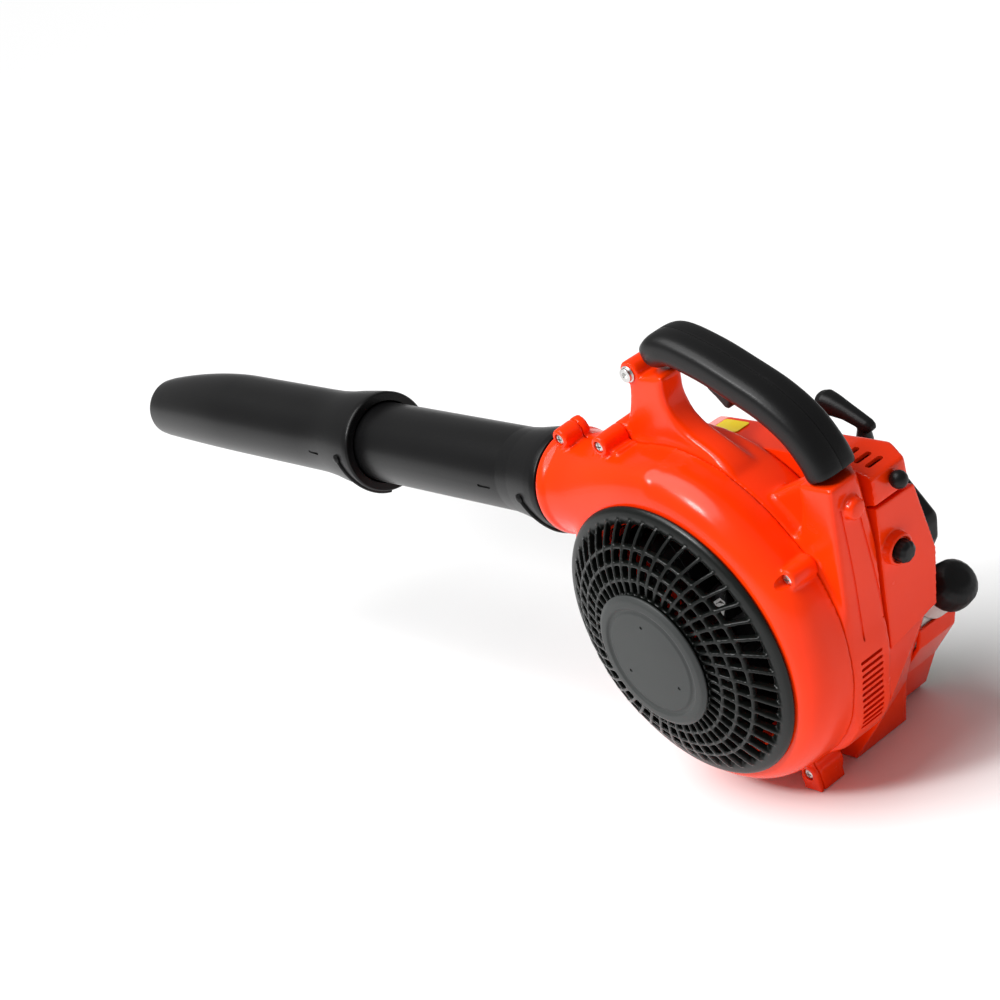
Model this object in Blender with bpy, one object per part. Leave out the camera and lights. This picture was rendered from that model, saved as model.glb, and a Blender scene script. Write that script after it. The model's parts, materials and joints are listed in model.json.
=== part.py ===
"""Handheld petrol leaf blower, built as separate pieces.

Frame, in metres: +X is the blowing direction, +Y the intake side (operator's left), +Z up.
The origin is the middle of the flat base, straight below the crankshaft.
The fan, flywheel and crankshaft turn about one axis parallel to Y at x = 0, z = CRANK_Z.
"""

import math

import bmesh
import bpy
from mathutils import Matrix, Vector

GAP = 0.0003                # left between pieces that touch

# Fan case
CRANK_Z = 0.132
CASE_BACK_Y = 0.025
CASE_SPLIT_Y = 0.063
CASE_FRONT_Y = 0.100
CASE_WALL = 0.003
SCROLL_START_R = 0.108
SCROLL_GROWTH = 0.021
SHAFT_HOLE_R = 0.020
CUTWATER_DEG = 20.0
SCROLL_SWEEP_DEG = 290.0
RIM_R = 0.104
EDGE_DEPTH = 0.022
INTAKE_R = 0.088

# Air tubes
TUBE_Y = 0.063
TUBE_Z = 0.220
OUTLET_END_X = 0.113
OUTLET_R = 0.037
OUTLET_SCREW_X = 0.094
SOCKET_R = 0.0314
PIPE_R = 0.0310
PIPE_WALL = 0.0024
PIPE_START_X = 0.072
PIPE_END_X = 0.392
NOZZLE_START_X = 0.347
NOZZLE_END_X = 0.685
NOZZLE_COLLAR_R = 0.0393
NOZZLE_TIP_R = 0.0250

# Handle
HANDLE_Y = 0.045
GRIP_HALF_WIDTH = 0.0165
GRIP_HALF_HEIGHT = 0.0152
GRIP_LINE = [(-0.001, 0.322), (-0.020, 0.3275), (-0.048, 0.320), (-0.075, 0.308),
             (-0.100, 0.296), (-0.119, 0.281), (-0.130, 0.264), (-0.134, 0.248)]

# Engine
CYLINDER_Y = -0.012
STROKE = 0.028
ROTOR_PIN_R = STROKE / 2
FLYWHEEL_R = 0.046
ENGINE_LEFT_Y = CASE_BACK_Y - GAP
HOUSING_RIGHT_Y = -0.028
COVER_RIGHT_Y = -0.038
STARTER_LEFT_Y = -0.0395
STARTER_RIGHT_Y = -0.078

# Rear wall: a straight line that leans back from the base to the handle
REAR_LOW = (-0.115, 0.097)
REAR_SLOPE = -0.2155
REAR_NORMAL = Vector((-1, 0, REAR_SLOPE)).normalized()

# Filter knob, trigger and fuel tank
KNOB_Z = 0.178
KNOB_AT = Vector((REAR_LOW[0] + REAR_SLOPE * (KNOB_Z - REAR_LOW[1]), 0.012, KNOB_Z))
TRIGGER_AXIS = Vector((-0.0468, HANDLE_Y, 0.3125))
CAP_AXIS = Vector((-0.82, 0, 0.57)).normalized()
CAP_BASE = Vector((-0.0995, -0.0490, 0.1040))
GUARD_LINE = [(-0.0870, 0.0800), (-0.0805, 0.0640), (-0.0530, 0.0345), (-0.0350, 0.0060), (-0.0270, 0.0),
              (0.0500, 0.0), (0.0640, 0.0110), (0.0700, 0.0420)]

# Starter
REEL_R = 0.0325
ROPE_Y = -0.058
ROPE_EXIT = (-0.0525, 0.206)
ROPE_DIRECTION = (-0.248, 0.969)
ROPE_R = 0.0018

FINISHES = {
    "red_plastic": ((1.0, 0.07, 0.01), 0.30, 0.0),
    "black_plastic": ((0.02, 0.02, 0.02), 0.45, 0.0),
    "grille_plastic": ((0.015, 0.02, 0.018), 0.5, 0.0),
    "grey_plastic": ((0.05, 0.05, 0.05), 0.5, 0.0),
    "yellow_label": ((0.9, 0.75, 0.03), 0.4, 0.0),
    "tank_plastic": ((0.85, 0.85, 0.8), 0.35, 0.0),
    "cast_alloy": ((0.55, 0.55, 0.56), 0.5, 1.0),
    "steel": ((0.6, 0.6, 0.6), 0.3, 1.0),
    "black_rubber": ((0.02, 0.02, 0.02), 0.8, 0.0),
    "filter_foam": ((0.08, 0.08, 0.08), 0.95, 0.0),
}


# ---------------------------------------------------------------- helpers

def finish(name):
    """The Principled material of that finish, made once."""
    found = bpy.data.materials.get(name)
    if found:
        return found
    colour, roughness, metallic = FINISHES[name]
    material = bpy.data.materials.new(name)
    material.use_nodes = True
    shader = material.node_tree.nodes["Principled BSDF"]
    shader.inputs["Base Color"].default_value = (*colour, 1.0)
    shader.inputs["Roughness"].default_value = roughness
    shader.inputs["Metallic"].default_value = metallic
    return material


def solid(name, points, faces, look="red_plastic"):
    """An object from points and faces, with doubled points merged and faces turned outwards."""
    mesh = bpy.data.meshes.new(name)
    mesh.from_pydata([tuple(p) for p in points], [], faces)
    work = bmesh.new()
    work.from_mesh(mesh)
    bmesh.ops.remove_doubles(work, verts=work.verts, dist=1e-6)
    bmesh.ops.dissolve_degenerate(work, edges=work.edges, dist=1e-7)
    bmesh.ops.recalc_face_normals(work, faces=work.faces)
    work.to_mesh(mesh)
    work.free()
    obj = bpy.data.objects.new(name, mesh)
    bpy.context.scene.collection.objects.link(obj)
    mesh.materials.append(finish(look))
    return obj


def combine(target, other, operation="UNION"):
    """Joins, cuts or intersects target with other, which is used up."""
    modifier = target.modifiers.new(operation, "BOOLEAN")
    modifier.operation = operation
    modifier.object = other
    graph = bpy.context.evaluated_depsgraph_get()
    result = bpy.data.meshes.new_from_object(target.evaluated_get(graph))
    target.modifiers.clear()
    target.data = result
    bpy.data.objects.remove(other)
    return target


def cut(target, *others):
    for other in others:
        combine(target, other, "DIFFERENCE")
    return target


def join(target, *others):
    for other in others:
        combine(target, other, "UNION")
    return target


def smooth(obj, angle_deg=35):
    obj.data.shade_smooth()
    obj.data.set_sharp_from_angle(angle=math.radians(angle_deg))
    return obj


def loft(name, rings, look="red_plastic", closed=False):
    """A solid through rings of equally many points; closed joins the last ring to the first."""
    count = len(rings[0])
    points = [p for ring in rings for p in ring]
    spans = len(rings) if closed else len(rings) - 1
    faces = []
    for i in range(spans):
        a = i * count
        b = (i + 1) % len(rings) * count
        for j in range(count):
            k = (j + 1) % count
            faces.append((a + j, a + k, b + k, b + j))
    if not closed:
        faces.append(tuple(range(count)))
        faces.append(tuple(range(len(points) - count, len(points))))
    return solid(name, points, faces, look)


def frame_of(axis):
    """Two unit vectors across a direction."""
    axis = Vector(axis).normalized()
    side = Vector((0, 0, 1)) if abs(axis.z) < 0.9 else Vector((1, 0, 0))
    u = (side - axis * side.dot(axis)).normalized()
    return u, axis.cross(u)


def turned(name, profile, centre, axis=(0, 1, 0), look="black_plastic", sides=24):
    """A closed profile of (radius, height) turned about axis through centre."""
    axis = Vector(axis).normalized()
    u, v = frame_of(axis)
    rings = []
    for i in range(sides):
        t = 2 * math.pi * i / sides
        out = u * math.cos(t) + v * math.sin(t)
        rings.append([Vector(centre) + out * r + axis * h for r, h in profile])
    return smooth(loft(name, rings, look, closed=True))


def disc(name, centre, radius, low, high, axis=(0, 1, 0), look="black_plastic", sides=20, inner=0.0):
    """A plain cylinder or, with inner, a ring."""
    if inner:
        profile = [(inner, low), (radius, low), (radius, high), (inner, high)]
    else:
        profile = [(0, low), (radius, low), (radius, high), (0, high)]
    return turned(name, profile, centre, axis, look, sides)


def prism(name, outline, low, high, look="red_plastic", plane="XZ"):
    """An outline in the named plane, extruded along the axis left over."""
    place = {"XZ": lambda a, b, h: (a, h, b), "YZ": lambda a, b, h: (h, a, b),
             "XY": lambda a, b, h: (a, b, h)}[plane]
    return loft(name, [[place(a, b, h) for a, b in outline] for h in (low, high)], look)


def block(name, low, high, look="red_plastic"):
    outline = [(low[0], low[2]), (high[0], low[2]), (high[0], high[2]), (low[0], high[2])]
    return prism(name, outline, low[1], high[1], look)


def bevelled(obj, width, segments=2, angle_deg=40):
    """Rounds the sharp edges of an object."""
    modifier = obj.modifiers.new("edges", "BEVEL")
    modifier.width = width
    modifier.segments = segments
    modifier.limit_method = "ANGLE"
    modifier.angle_limit = math.radians(angle_deg)
    graph = bpy.context.evaluated_depsgraph_get()
    mesh = bpy.data.meshes.new_from_object(obj.evaluated_get(graph))
    obj.modifiers.clear()
    obj.data = mesh
    return smooth(obj)


def swept(name, path, radius, look="black_rubber", sides=10, flatten=1.0):
    """A round or oval bar along a path of points. flatten scales the section across Y."""
    path = [Vector(p) for p in path]
    rings = []
    normal = None
    for i, p in enumerate(path):
        ahead = path[min(i + 1, len(path) - 1)] - path[max(i - 1, 0)]
        ahead.normalize()
        if normal is None:
            normal = frame_of(ahead)[0]
        normal = (normal - ahead * normal.dot(ahead)).normalized()
        other = ahead.cross(normal)
        size = radius[i] if isinstance(radius, (list, tuple)) else radius
        ring = []
        for j in range(sides):
            t = 2 * math.pi * j / sides
            offset = (normal * math.cos(t) + other * math.sin(t)) * size
            ring.append(p + Vector((offset.x, offset.y * flatten, offset.z)))
        rings.append(ring)
    return smooth(loft(name, rings, look), 50)


def spline(points, steps):
    """Points on a Catmull-Rom curve through the given ones."""
    points = [Vector(p) for p in points]
    padded = [points[0] * 2 - points[1], *points, points[-1] * 2 - points[-2]]
    found = []
    for i in range(1, len(padded) - 2):
        a, b, c, d = padded[i - 1:i + 3]
        for k in range(steps):
            t = k / steps
            found.append((b * 2 + (c - a) * t + (a * 2 - b * 5 + c * 4 - d) * t * t
                          + (b * 3 - a - c * 3 + d) * t ** 3) / 2)
    return [*found, points[-1]]


def rear_x(z):
    """Where the leaning rear wall stands at that height."""
    return REAR_LOW[0] + REAR_SLOPE * (z - REAR_LOW[1])


def axis_point(y):
    return Vector((0, y, CRANK_Z))


# ---------------------------------------------------------------- fan case

def scroll_radius(angle_deg):
    """The volute's outer radius. Angles run from +X towards +Z."""
    turned_by = (CUTWATER_DEG - angle_deg) % 360.0
    share = turned_by / SCROLL_SWEEP_DEG
    if share > 1:
        back = (turned_by - SCROLL_SWEEP_DEG) / (360.0 - SCROLL_SWEEP_DEG)
        share = 1 - back * back * (3 - 2 * back)
    return SCROLL_START_R + SCROLL_GROWTH * share


def scroll_solid(name, wall, steps=32, arc=2):
    """The volute as a solid. wall 0 is the outside, and a wall thickness gives the hollow."""
    rings = []
    back = CASE_BACK_Y + wall
    front = CASE_FRONT_Y - wall
    for i in range(steps):
        angle = 360.0 * i / steps
        r = scroll_radius(angle) - wall
        rim = RIM_R - wall
        profile = [(0, back), (r, back)]
        for k in range(arc + 1):
            t = math.pi / 2 * k / arc
            profile.append((rim + (r - rim) * math.cos(t), front - EDGE_DEPTH * (1 - math.sin(t))))
        profile.append((0, front))
        c, s = math.cos(math.radians(angle)), math.sin(math.radians(angle))
        rings.append([(r_ * c, y, CRANK_Z + r_ * s) for r_, y in profile])
    return loft(name, rings, closed=True)


def duct_solid(name, wall, low_x, high_x, sides=16, steps=4):
    """The outlet, which turns from the volute's rounded rectangle into a round socket."""
    rings = []
    for i in range(steps + 1):
        x = low_x + (high_x - low_x) * i / steps
        t = min(1.0, max(0.0, x / (OUTLET_END_X - 0.020)))
        t = t * t * (3 - 2 * t)
        half_y = 0.0366 + (OUTLET_R - 0.0366) * t - wall
        half_z = 0.0418 + (OUTLET_R - 0.0418) * t - wall
        z = 0.2188 + (TUBE_Z - 0.2188) * t
        power = 2 / (4.5 - 2.5 * t)
        ring = []
        for k in range(sides):
            a = 2 * math.pi * (k + 0.5) / sides
            c, s = math.cos(a), math.sin(a)
            ring.append((x, TUBE_Y + math.copysign(abs(c) ** power, c) * half_y,
                         z + math.copysign(abs(s) ** power, s) * half_z))
        rings.append(ring)
    return loft(name, rings)


def case_halves():
    """The two halves of the fan case: the front one holds the intake, the rear one the handle posts."""
    whole = join(scroll_solid("fan_case_front", 0.0), duct_solid("duct", 0.0, -0.012, OUTLET_END_X))
    hollow = join(scroll_solid("hollow", CASE_WALL), duct_solid("duct_hollow", 0.0035, -0.020, 0.080))
    socket = disc("socket", (0, TUBE_Y, TUBE_Z), SOCKET_R, 0.070, 0.120, axis=(1, 0, 0))
    intake = disc("intake", axis_point(0), INTAKE_R, 0.095, 0.115, sides=48)
    shaft_hole = disc("shaft_hole", axis_point(0), SHAFT_HOLE_R, 0.015, 0.035)
    cut(whole, hollow, socket, intake, shaft_hole)
    join(whole, *screw_bosses())
    rear = whole.copy()
    rear.data = whole.data.copy()
    rear.name = "fan_case_rear"
    bpy.context.scene.collection.objects.link(rear)
    cut(whole, block("behind", (-0.3, -0.1, -0.1), (0.3, CASE_SPLIT_Y + GAP / 2, 0.4)))
    cut(rear, block("before", (-0.3, CASE_SPLIT_Y - GAP / 2, -0.1), (0.3, 0.3, 0.4)))
    posts = [front_post(), rear_post()]
    for post in posts:
        cut(post, scroll_solid("clear", CASE_WALL / 2),
            duct_solid("duct_clear", CASE_WALL / 2, -0.020, 0.080))
    join(rear, *posts)
    cut(rear, *louvres(), grip_solid("grip_seat", GAP), cable_channel())
    for x, y, z in screw_places():
        cut(whole, disc("seat", (x, 0, z), 0.0044, y - 0.0035, y + 0.05, sides=16))
        for half in (whole, rear):
            cut(half, disc("bore", (x, 0, z), 0.0024, 0.0435, y + 0.01, sides=12))
    return smooth(whole), smooth(rear)


def screw_places():
    """Screw axes of the case, at the front face of each boss."""
    return [(0.043, 0.085, 0.266), (OUTLET_SCREW_X, 0.079, 0.262), (-0.109, 0.085, 0.190),
            (-0.046, 0.0675, 0.0135)]


def screw_bosses():
    """Round bosses that run from the front half into the rear half."""
    bosses = []
    for i, (x, y, z) in enumerate(screw_places()):
        low = 0.0570 if x == OUTLET_SCREW_X else 0.0415
        bosses.append(disc(f"boss_{i}", (x, 0, z), 0.0078, low, y, look="red_plastic", sides=14))
    bosses.append(block("web_top", (0.030, 0.042, 0.245), (0.056, 0.083, 0.262)))
    bosses.append(block("web_outlet", (0.0893, 0.0585, 0.2546), (0.0987, 0.0765, 0.2602)))
    bosses.append(block("web_rear", (-0.104, 0.042, 0.178), (-0.090, 0.083, 0.196)))
    bosses.append(block("web_foot", (-0.0515, 0.0425, 0.008), (-0.0385, 0.066, 0.034)))
    bosses.append(block("foot_front", (0.034, 0.042, 0.0), (0.056, 0.0675, 0.034)))
    bosses.append(block("foot_rear", (-0.0535, 0.042, 0.0), (-0.0375, 0.0668, 0.012)))
    return bosses


def front_post():
    outline = [(0.052, 0.240), (0.044, 0.262), (0.031, 0.280), (0.021, 0.303), (0.019, 0.3075),
               (-0.014, 0.3075), (-0.0115, 0.300), (-0.0112, 0.290), (-0.015, 0.2795), (-0.024, 0.2705),
               (-0.038, 0.2640), (-0.056, 0.2560), (-0.060, 0.236)]
    post = prism("front_post", outline, 0.0400, 0.0615)
    ear = disc("ear", (0.0165, 0, 0.3125), 0.0085, 0.046, 0.0615, look="red_plastic", sides=20)
    return join(post, ear)


def rear_post():
    """The leaning band that carries the handle's rear end and the louvred rear wall."""
    outline = [(-0.060, 0.030), (-0.084, 0.040), (-0.104, 0.062), (rear_x(0.090), 0.090),
               (rear_x(0.170), 0.170), (rear_x(0.2475), 0.2475), (-0.117, 0.2475), (-0.112, 0.225),
               (-0.100, 0.205), (-0.080, 0.190), (-0.080, 0.070)]
    post = prism("rear_post", outline, 0.0285, 0.0615)
    edge = [(-0.1653, 0.055), (-0.1187, 0.020), (-0.180, 0.020), (-0.180, 0.055)]
    return cut(post, prism("edge", edge, 0.0, 0.3, plane="XY"))


def louvres(count=12):
    """Slots in the rear wall, one above the other."""
    slots = []
    for i in range(count):
        angle = math.radians(190 + 29 * i / (count - 1))
        centre = Vector((0.118 * math.cos(angle), 0.045, CRANK_Z + 0.118 * math.sin(angle)))
        slots.append(block(f"slot_{i}", (centre.x - 0.02, 0.035, centre.z - 0.0012),
                           (centre.x + 0.01, 0.055, centre.z + 0.0012)))
    return slots


def case_screws():
    """One screw in each boss."""
    made = []
    for name, (x, y, z) in zip(("top", "outlet", "rear", "foot"), screw_places()):
        head = y - 0.0032
        tip = 0.0585 if x == OUTLET_SCREW_X else max(head - 0.028, 0.0445)
        profile = [(0, tip), (0.0021, tip), (0.0021, head), (0.0041, head),
                   (0.0041, head + 0.0022), (0, head + 0.0028)]
        made.append(turned(f"case_screw_{name}", profile, (x, 0, z), look="steel", sides=12))
    return made


# ---------------------------------------------------------------- intake

def dome_y(r):
    """Front surface of the grille at that radius."""
    share = (r - 0.049) / (RIM_R - 0.049)
    return 0.1240 - 0.0225 * share ** 2


def intake_grille(ribs=12):
    """A domed net of swept ribs and rings between a thick rim and the hub ring."""
    rings = [turned("intake_grille", [(0.0885, 0.1003), (0.1025, 0.1003), (0.1035, 0.1022),
                                      (0.1015, 0.1050), (0.0950, 0.1062), (0.0885, 0.1040)],
                    axis_point(0), look="grille_plastic", sides=26)]
    rings.append(disc("hub_ring", axis_point(0), 0.0480, 0.1195, 0.1240, sides=18, inner=0.040))
    for r in (0.060, 0.074):
        y = dome_y(r) - 0.0012
        rings.append(disc("ring", axis_point(0), r + 0.0012, y - 0.0014, y + 0.0014, sides=18,
                          inner=r - 0.0012))
    bars = []
    for i in range(ribs):
        path = []
        for k in range(3):
            r = 0.046 + 0.052 * k / 2
            t = 2 * math.pi * i / ribs + 0.45 * (k / 2) ** 1.3
            path.append((r * math.cos(t), dome_y(r) - 0.0012, CRANK_Z + r * math.sin(t)))
        bars.append(swept(f"rib_{i}", path, 0.0017, sides=4))
    grille = join(rings[0], *rings[1:2])
    net = merged(bars)
    join(net, merged(rings[2:]))
    join(grille, net)
    return smooth(grille)


def merged(objects):
    """Several solids that don't touch, or that a Boolean joins next, as one object."""
    first = objects[0]
    work = bmesh.new()
    for obj in objects:
        work.from_mesh(obj.data)
    work.to_mesh(first.data)
    work.free()
    for obj in objects[1:]:
        bpy.data.objects.remove(obj)
    return first


def hub_plate():
    profile = [(0, 0.1258), (0.0495, 0.1258), (0.0500, 0.1275), (0.0470, 0.1295), (0.0420, 0.1300),
               (0.0405, 0.1292), (0.0385, 0.1292), (0.0370, 0.1300), (0, 0.1303)]
    return turned("grille_hub_plate", profile, axis_point(0), look="grey_plastic", sides=28)


# ---------------------------------------------------------------- rotor

def impeller(blades=9):
    """A back plate with swept blades round a hub."""
    profile = [(0.0063, 0.0290), (0.018, 0.0290), (0.018, 0.0310), (0.084, 0.0310), (0.084, 0.0335),
               (0.030, 0.0335), (0.018, 0.0440), (0.0150, 0.0520), (0.0063, 0.0520)]
    wheel = turned("impeller", profile, axis_point(0), sides=20)
    made = []
    for i in range(blades):
        start = 2 * math.pi * i / blades
        line = []
        for k in range(3):
            r = 0.036 + 0.047 * k / 2
            t = start - 0.55 * (k / 2)
            line.append((r * math.cos(t), CRANK_Z + r * math.sin(t)))
        made.append(prism(f"blade_{i}", band(line, 0.0018), 0.0325, 0.0900))
    return smooth(join(wheel, merged(made)))


def band(line, thickness):
    """The outline of a strip of that thickness on the left of a line of points in a plane."""
    return [*line, *reversed(offset(line, thickness))]


def offset(line, distance):
    """The line moved sideways, to the left of its own direction."""
    moved = []
    for i, (a, b) in enumerate(line):
        normals = []
        for j in (i - 1, i):
            if 0 <= j < len(line) - 1:
                da, db = line[j + 1][0] - line[j][0], line[j + 1][1] - line[j][1]
                size = math.hypot(da, db)
                normals.append((-db / size, da / size))
        na = sum(n[0] for n in normals)
        nb = sum(n[1] for n in normals)
        square = (na * na + nb * nb) / len(normals)
        moved.append((a + na * distance / square, b + nb * distance / square))
    return moved


def rotor_pieces():
    flywheel = turned("flywheel", [(0.0063, 0.0085), (FLYWHEEL_R, 0.0085), (FLYWHEEL_R, 0.0205),
                                   (0.039, 0.0205), (0.039, 0.0125), (0.014, 0.0125), (0.014, 0.0215),
                                   (0.0063, 0.0215)], axis_point(0), look="cast_alloy", sides=20)
    left = turned("crankshaft_left", [(0, -0.0043), (0.022, -0.0043), (0.022, -0.0010), (0.006, -0.0010),
                                      (0.006, 0.0600), (0, 0.0600)], axis_point(0), look="steel", sides=18)
    right = turned("crankshaft_right", [(0, -0.0505), (0.006, -0.0505), (0.006, -0.0230), (0.022, -0.0230),
                                        (0.022, -0.0197), (0, -0.0197)], axis_point(0), look="steel",
                                        sides=18)
    nut = disc("impeller_nut", axis_point(0), 0.0095, 0.0523, 0.0590, look="steel", sides=6, inner=0.0073)
    cup = turned("starter_cup", [(0.0063, -0.0500), (0.017, -0.0500), (0.017, -0.0420), (0.0145, -0.0420),
                                 (0.0145, -0.0470), (0.0063, -0.0470)], axis_point(0), look="steel",
                                 sides=18)
    return [impeller(), flywheel, left, right, nut, cup]


# ---------------------------------------------------------------- engine

def crank_train():
    """The piston, its pin, the rod and the crank pin, which slide as one; the rotor is clear of them."""
    pin_z = CRANK_Z + ROTOR_PIN_R
    wrist_z = pin_z + 0.048
    top = (0, CYLINDER_Y, 0)
    piston = turned("piston", [(0, wrist_z + 0.006), (0.0138, wrist_z + 0.006), (0.0138, wrist_z - 0.008),
                               (0.0168, wrist_z - 0.008), (0.0168, wrist_z + 0.010), (0, wrist_z + 0.010)],
                    top, (0, 0, 1), "cast_alloy", 24)
    wrist = disc("piston_pin", (0, 0, wrist_z), 0.0038, CYLINDER_Y - 0.0126, CYLINDER_Y + 0.0126,
                 look="steel", sides=14)
    low, high = CYLINDER_Y - 0.004, CYLINDER_Y + 0.004
    rod = disc("connecting_rod", (0, 0, wrist_z), 0.0057, low, high, look="steel", sides=20)
    join(rod, disc("big_end", (0, 0, pin_z), 0.0092, low, high, sides=20),
         block("shank", (-0.0032, low + 0.001, pin_z), (0.0032, high - 0.001, wrist_z)))
    cut(rod, disc("small_hole", (0, 0, wrist_z), 0.0041, low - 0.01, high + 0.01, sides=14),
        disc("big_hole", (0, 0, pin_z), 0.0053, low - 0.01, high + 0.01, sides=16))
    crank_pin = disc("crank_pin", (0, 0, pin_z), 0.0050, -0.0193, -0.0047, look="steel", sides=16)
    return [piston, wrist, smooth(rod), crank_pin]


def crankcase():
    profile = [(0.0133, 0.006), (0.030, 0.006), (0.030, -0.030), (0.0133, -0.030), (0.0133, -0.0245),
               (0.0260, -0.0245), (0.0260, 0.0005), (0.0133, 0.0005)]
    case = turned("crankcase", profile, axis_point(0), look="cast_alloy", sides=20)
    join(case, block("flange", (-0.020, -0.030, 0.152), (0.020, 0.006, 0.1618)))
    opening = disc("mouth", (0, CYLINDER_Y, 0), 0.0178, CRANK_Z, 0.175, axis=(0, 0, 1), sides=24)
    hollow = disc("hollow", axis_point(0), 0.0252, -0.0242, 0.0002, sides=20)
    return smooth(cut(case, opening, hollow))


def bearings():
    made = []
    for name, low in (("left", 0.0008), ("right", -0.0297)):
        made.append(disc(f"crank_bearing_{name}", axis_point(0), 0.0130, low, low + 0.005,
                         look="steel", sides=16, inner=0.0063))
    return made


def cylinder(fins=4):
    """A finned barrel, open below, with the combustion chamber closed above."""
    profile = [(0, 0.2062), (0.0172, 0.2062), (0.0172, 0.1622), (0.0198, 0.1622)]
    pitch = 0.0084
    for i in range(fins):
        z = 0.1792 + pitch * i
        profile += [(0.0198, z), (0.0230, z), (0.0230, z + 0.0024), (0.0198, z + 0.0024)]
    profile += [(0.0150, 0.2100), (0.0150, 0.2115), (0, 0.2115)]
    return turned("cylinder", profile, (0, CYLINDER_Y, 0), (0, 0, 1), "cast_alloy", 16)


def ignition():
    plug = turned("spark_plug", [(0, 0.2118), (0.0080, 0.2118), (0.0080, 0.2170), (0.0045, 0.2175),
                                 (0.0045, 0.2255), (0, 0.2255)], (0, CYLINDER_Y, 0), (0, 0, 1), "steel", 12)
    lead = swept("plug_lead", spline([(0, -0.012, 0.2275), (-0.003, -0.012, 0.2312),
                                      (-0.015, -0.009, 0.2322),
                                      (-0.034, 0.003, 0.2290), (-0.046, 0.013, 0.2130),
                                      (-0.047, 0.015, 0.1964)], 3),
                 0.0034, sides=8)
    coil = bevelled(block("ignition_coil", (-0.060, 0.0090, 0.1720), (-0.037, 0.0210, 0.1960),
                          "black_plastic"),
                    0.0015, 1)
    return [plug, lead, coil]


def fuel_system():
    """Carburettor, insulator, air box and filter, in line behind the inlet port."""
    port = (0, -0.006, 0.186)
    along = (1, 0, 0)
    insulator = block("intake_insulator", (-0.0400, -0.015, 0.177), (-0.0240, 0.003, 0.195),
                      "black_plastic")
    carb = block("carburettor", (-0.0655, -0.018, 0.173), (-0.0404, 0.004, 0.199), "cast_alloy")
    join(carb, disc("pump_cover", (-0.053, -0.007, 0), 0.0105, 0.168, 0.180, axis=(0, 0, 1), sides=20))
    box = block("filter_box", (-0.1165, -0.011, 0.126), (-0.1045, 0.018, 0.196), "black_plastic")
    cut(box, block("dish", (-0.130, -0.009, 0.128), (-0.1068, 0.016, 0.194)))
    join(box, disc("neck", port, 0.0085, -0.1055, -0.0659, axis=along, sides=24))
    bore = disc("bore", port, 0.0065, -0.120, -0.020, axis=along, sides=20)
    for piece in (insulator, carb, box):
        tool = bore.copy()
        tool.data = bore.data.copy()
        bpy.context.scene.collection.objects.link(tool)
        smooth(cut(piece, tool))
    bpy.data.objects.remove(bore)
    element = bevelled(block("filter_element", (-0.1150, -0.0085, 0.1285), (-0.1080, 0.0155, 0.1935),
                             "filter_foam"), 0.001, 1)
    lever = disc("throttle_lever", (-0.053, 0, 0.186), 0.0055, 0.0045, 0.0065, look="steel", sides=16)
    join(lever, block("arm", (-0.0555, 0.0045, 0.186), (-0.0505, 0.0065, 0.2005), "steel"))
    rod = disc("choke_knob", (0, 0.007, 0.227), 0.0022, -0.1500, -0.1080, axis=along, sides=12)
    ball = turned("ball", [(0.0062 * math.sin(math.pi * k / 8), -0.149 - 0.0062 * math.cos(math.pi * k / 8))
                           for k in range(9)], (0, 0.007, 0.227), along, sides=20)
    return [insulator, carb, box, element, smooth(lever), smooth(join(rod, ball))]


def exhaust():
    muffler = bevelled(block("muffler", (0.0262, -0.034, 0.150), (0.0480, 0.006, 0.206), "steel"), 0.004, 2)
    cut(muffler, block("hollow", (0.0282, -0.031, 0.153), (0.0460, 0.003, 0.203)),
        disc("tailpipe", (0, -0.010, 0.166), 0.0055, 0.040, 0.055, axis=(1, 0, 0), sides=12))
    guard = block("muffler_guard", (0.0566, -0.030, 0.146), (0.0600, 0.010, 0.202), "black_plastic")
    cut(guard, *[block(f"slot_{i}", (0.050, -0.025, 0.152 + 0.0088 * i), (0.070, 0.005, 0.156 + 0.0088 * i))
                 for i in range(5)])
    return [muffler, guard]


# ---------------------------------------------------------------- engine shells

def housing_ring(y, rear, inner=0.0):
    """The lower housing's section at that Y. rear moves its rear corners, inner shrinks it."""
    top = 0.1005 + (0.02 if inner else 0.0)
    return [(-0.048 + inner, y, inner), (0.050 - inner, y, inner), (0.060 - inner, y, 0.030),
            (0.0615 - inner, y, top), (-0.1105 + rear * 0.4 + inner, y, top),
            (-0.1020 + rear + inner, y, 0.062), (-0.083 + rear * 0.8 + inner, y, 0.038)]


def engine_housing():
    """The lower shell round the crankcase, open above. Its flat underside is the base."""
    shell = loft("engine_housing", [housing_ring(HOUSING_RIGHT_Y, 0.027), housing_ring(ENGINE_LEFT_Y, 0.0)])
    hollow = loft("hollow", [housing_ring(HOUSING_RIGHT_Y + 0.003, 0.027, 0.003),
                             housing_ring(ENGINE_LEFT_Y - 0.003, 0.0, 0.003)])
    cut(shell, hollow, disc("crank_clear", axis_point(0), 0.031, -0.035, 0.030, sides=32))
    cut(shell, disc("wheel_clear", axis_point(0), FLYWHEEL_R + 0.002, 0.007, 0.030, sides=36))
    return smooth(shell)


def cover_outline(inner=0.0):
    low = 0.1010 - (0.02 if inner else 0.0)
    return [(-0.1035 + inner, low), (-0.1035 + inner, 0.2145 + inner),
            (rear_x(0.2145) + inner, 0.2145 + inner),
            (rear_x(0.236) + inner, 0.236 - inner * 0.6), (-0.113, 0.246 - inner), (0.014, 0.246 - inner),
            (0.042 - inner * 0.7, 0.236 - inner * 0.7), (0.0545 - inner, 0.210), (0.0562 - inner, low)]


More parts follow.
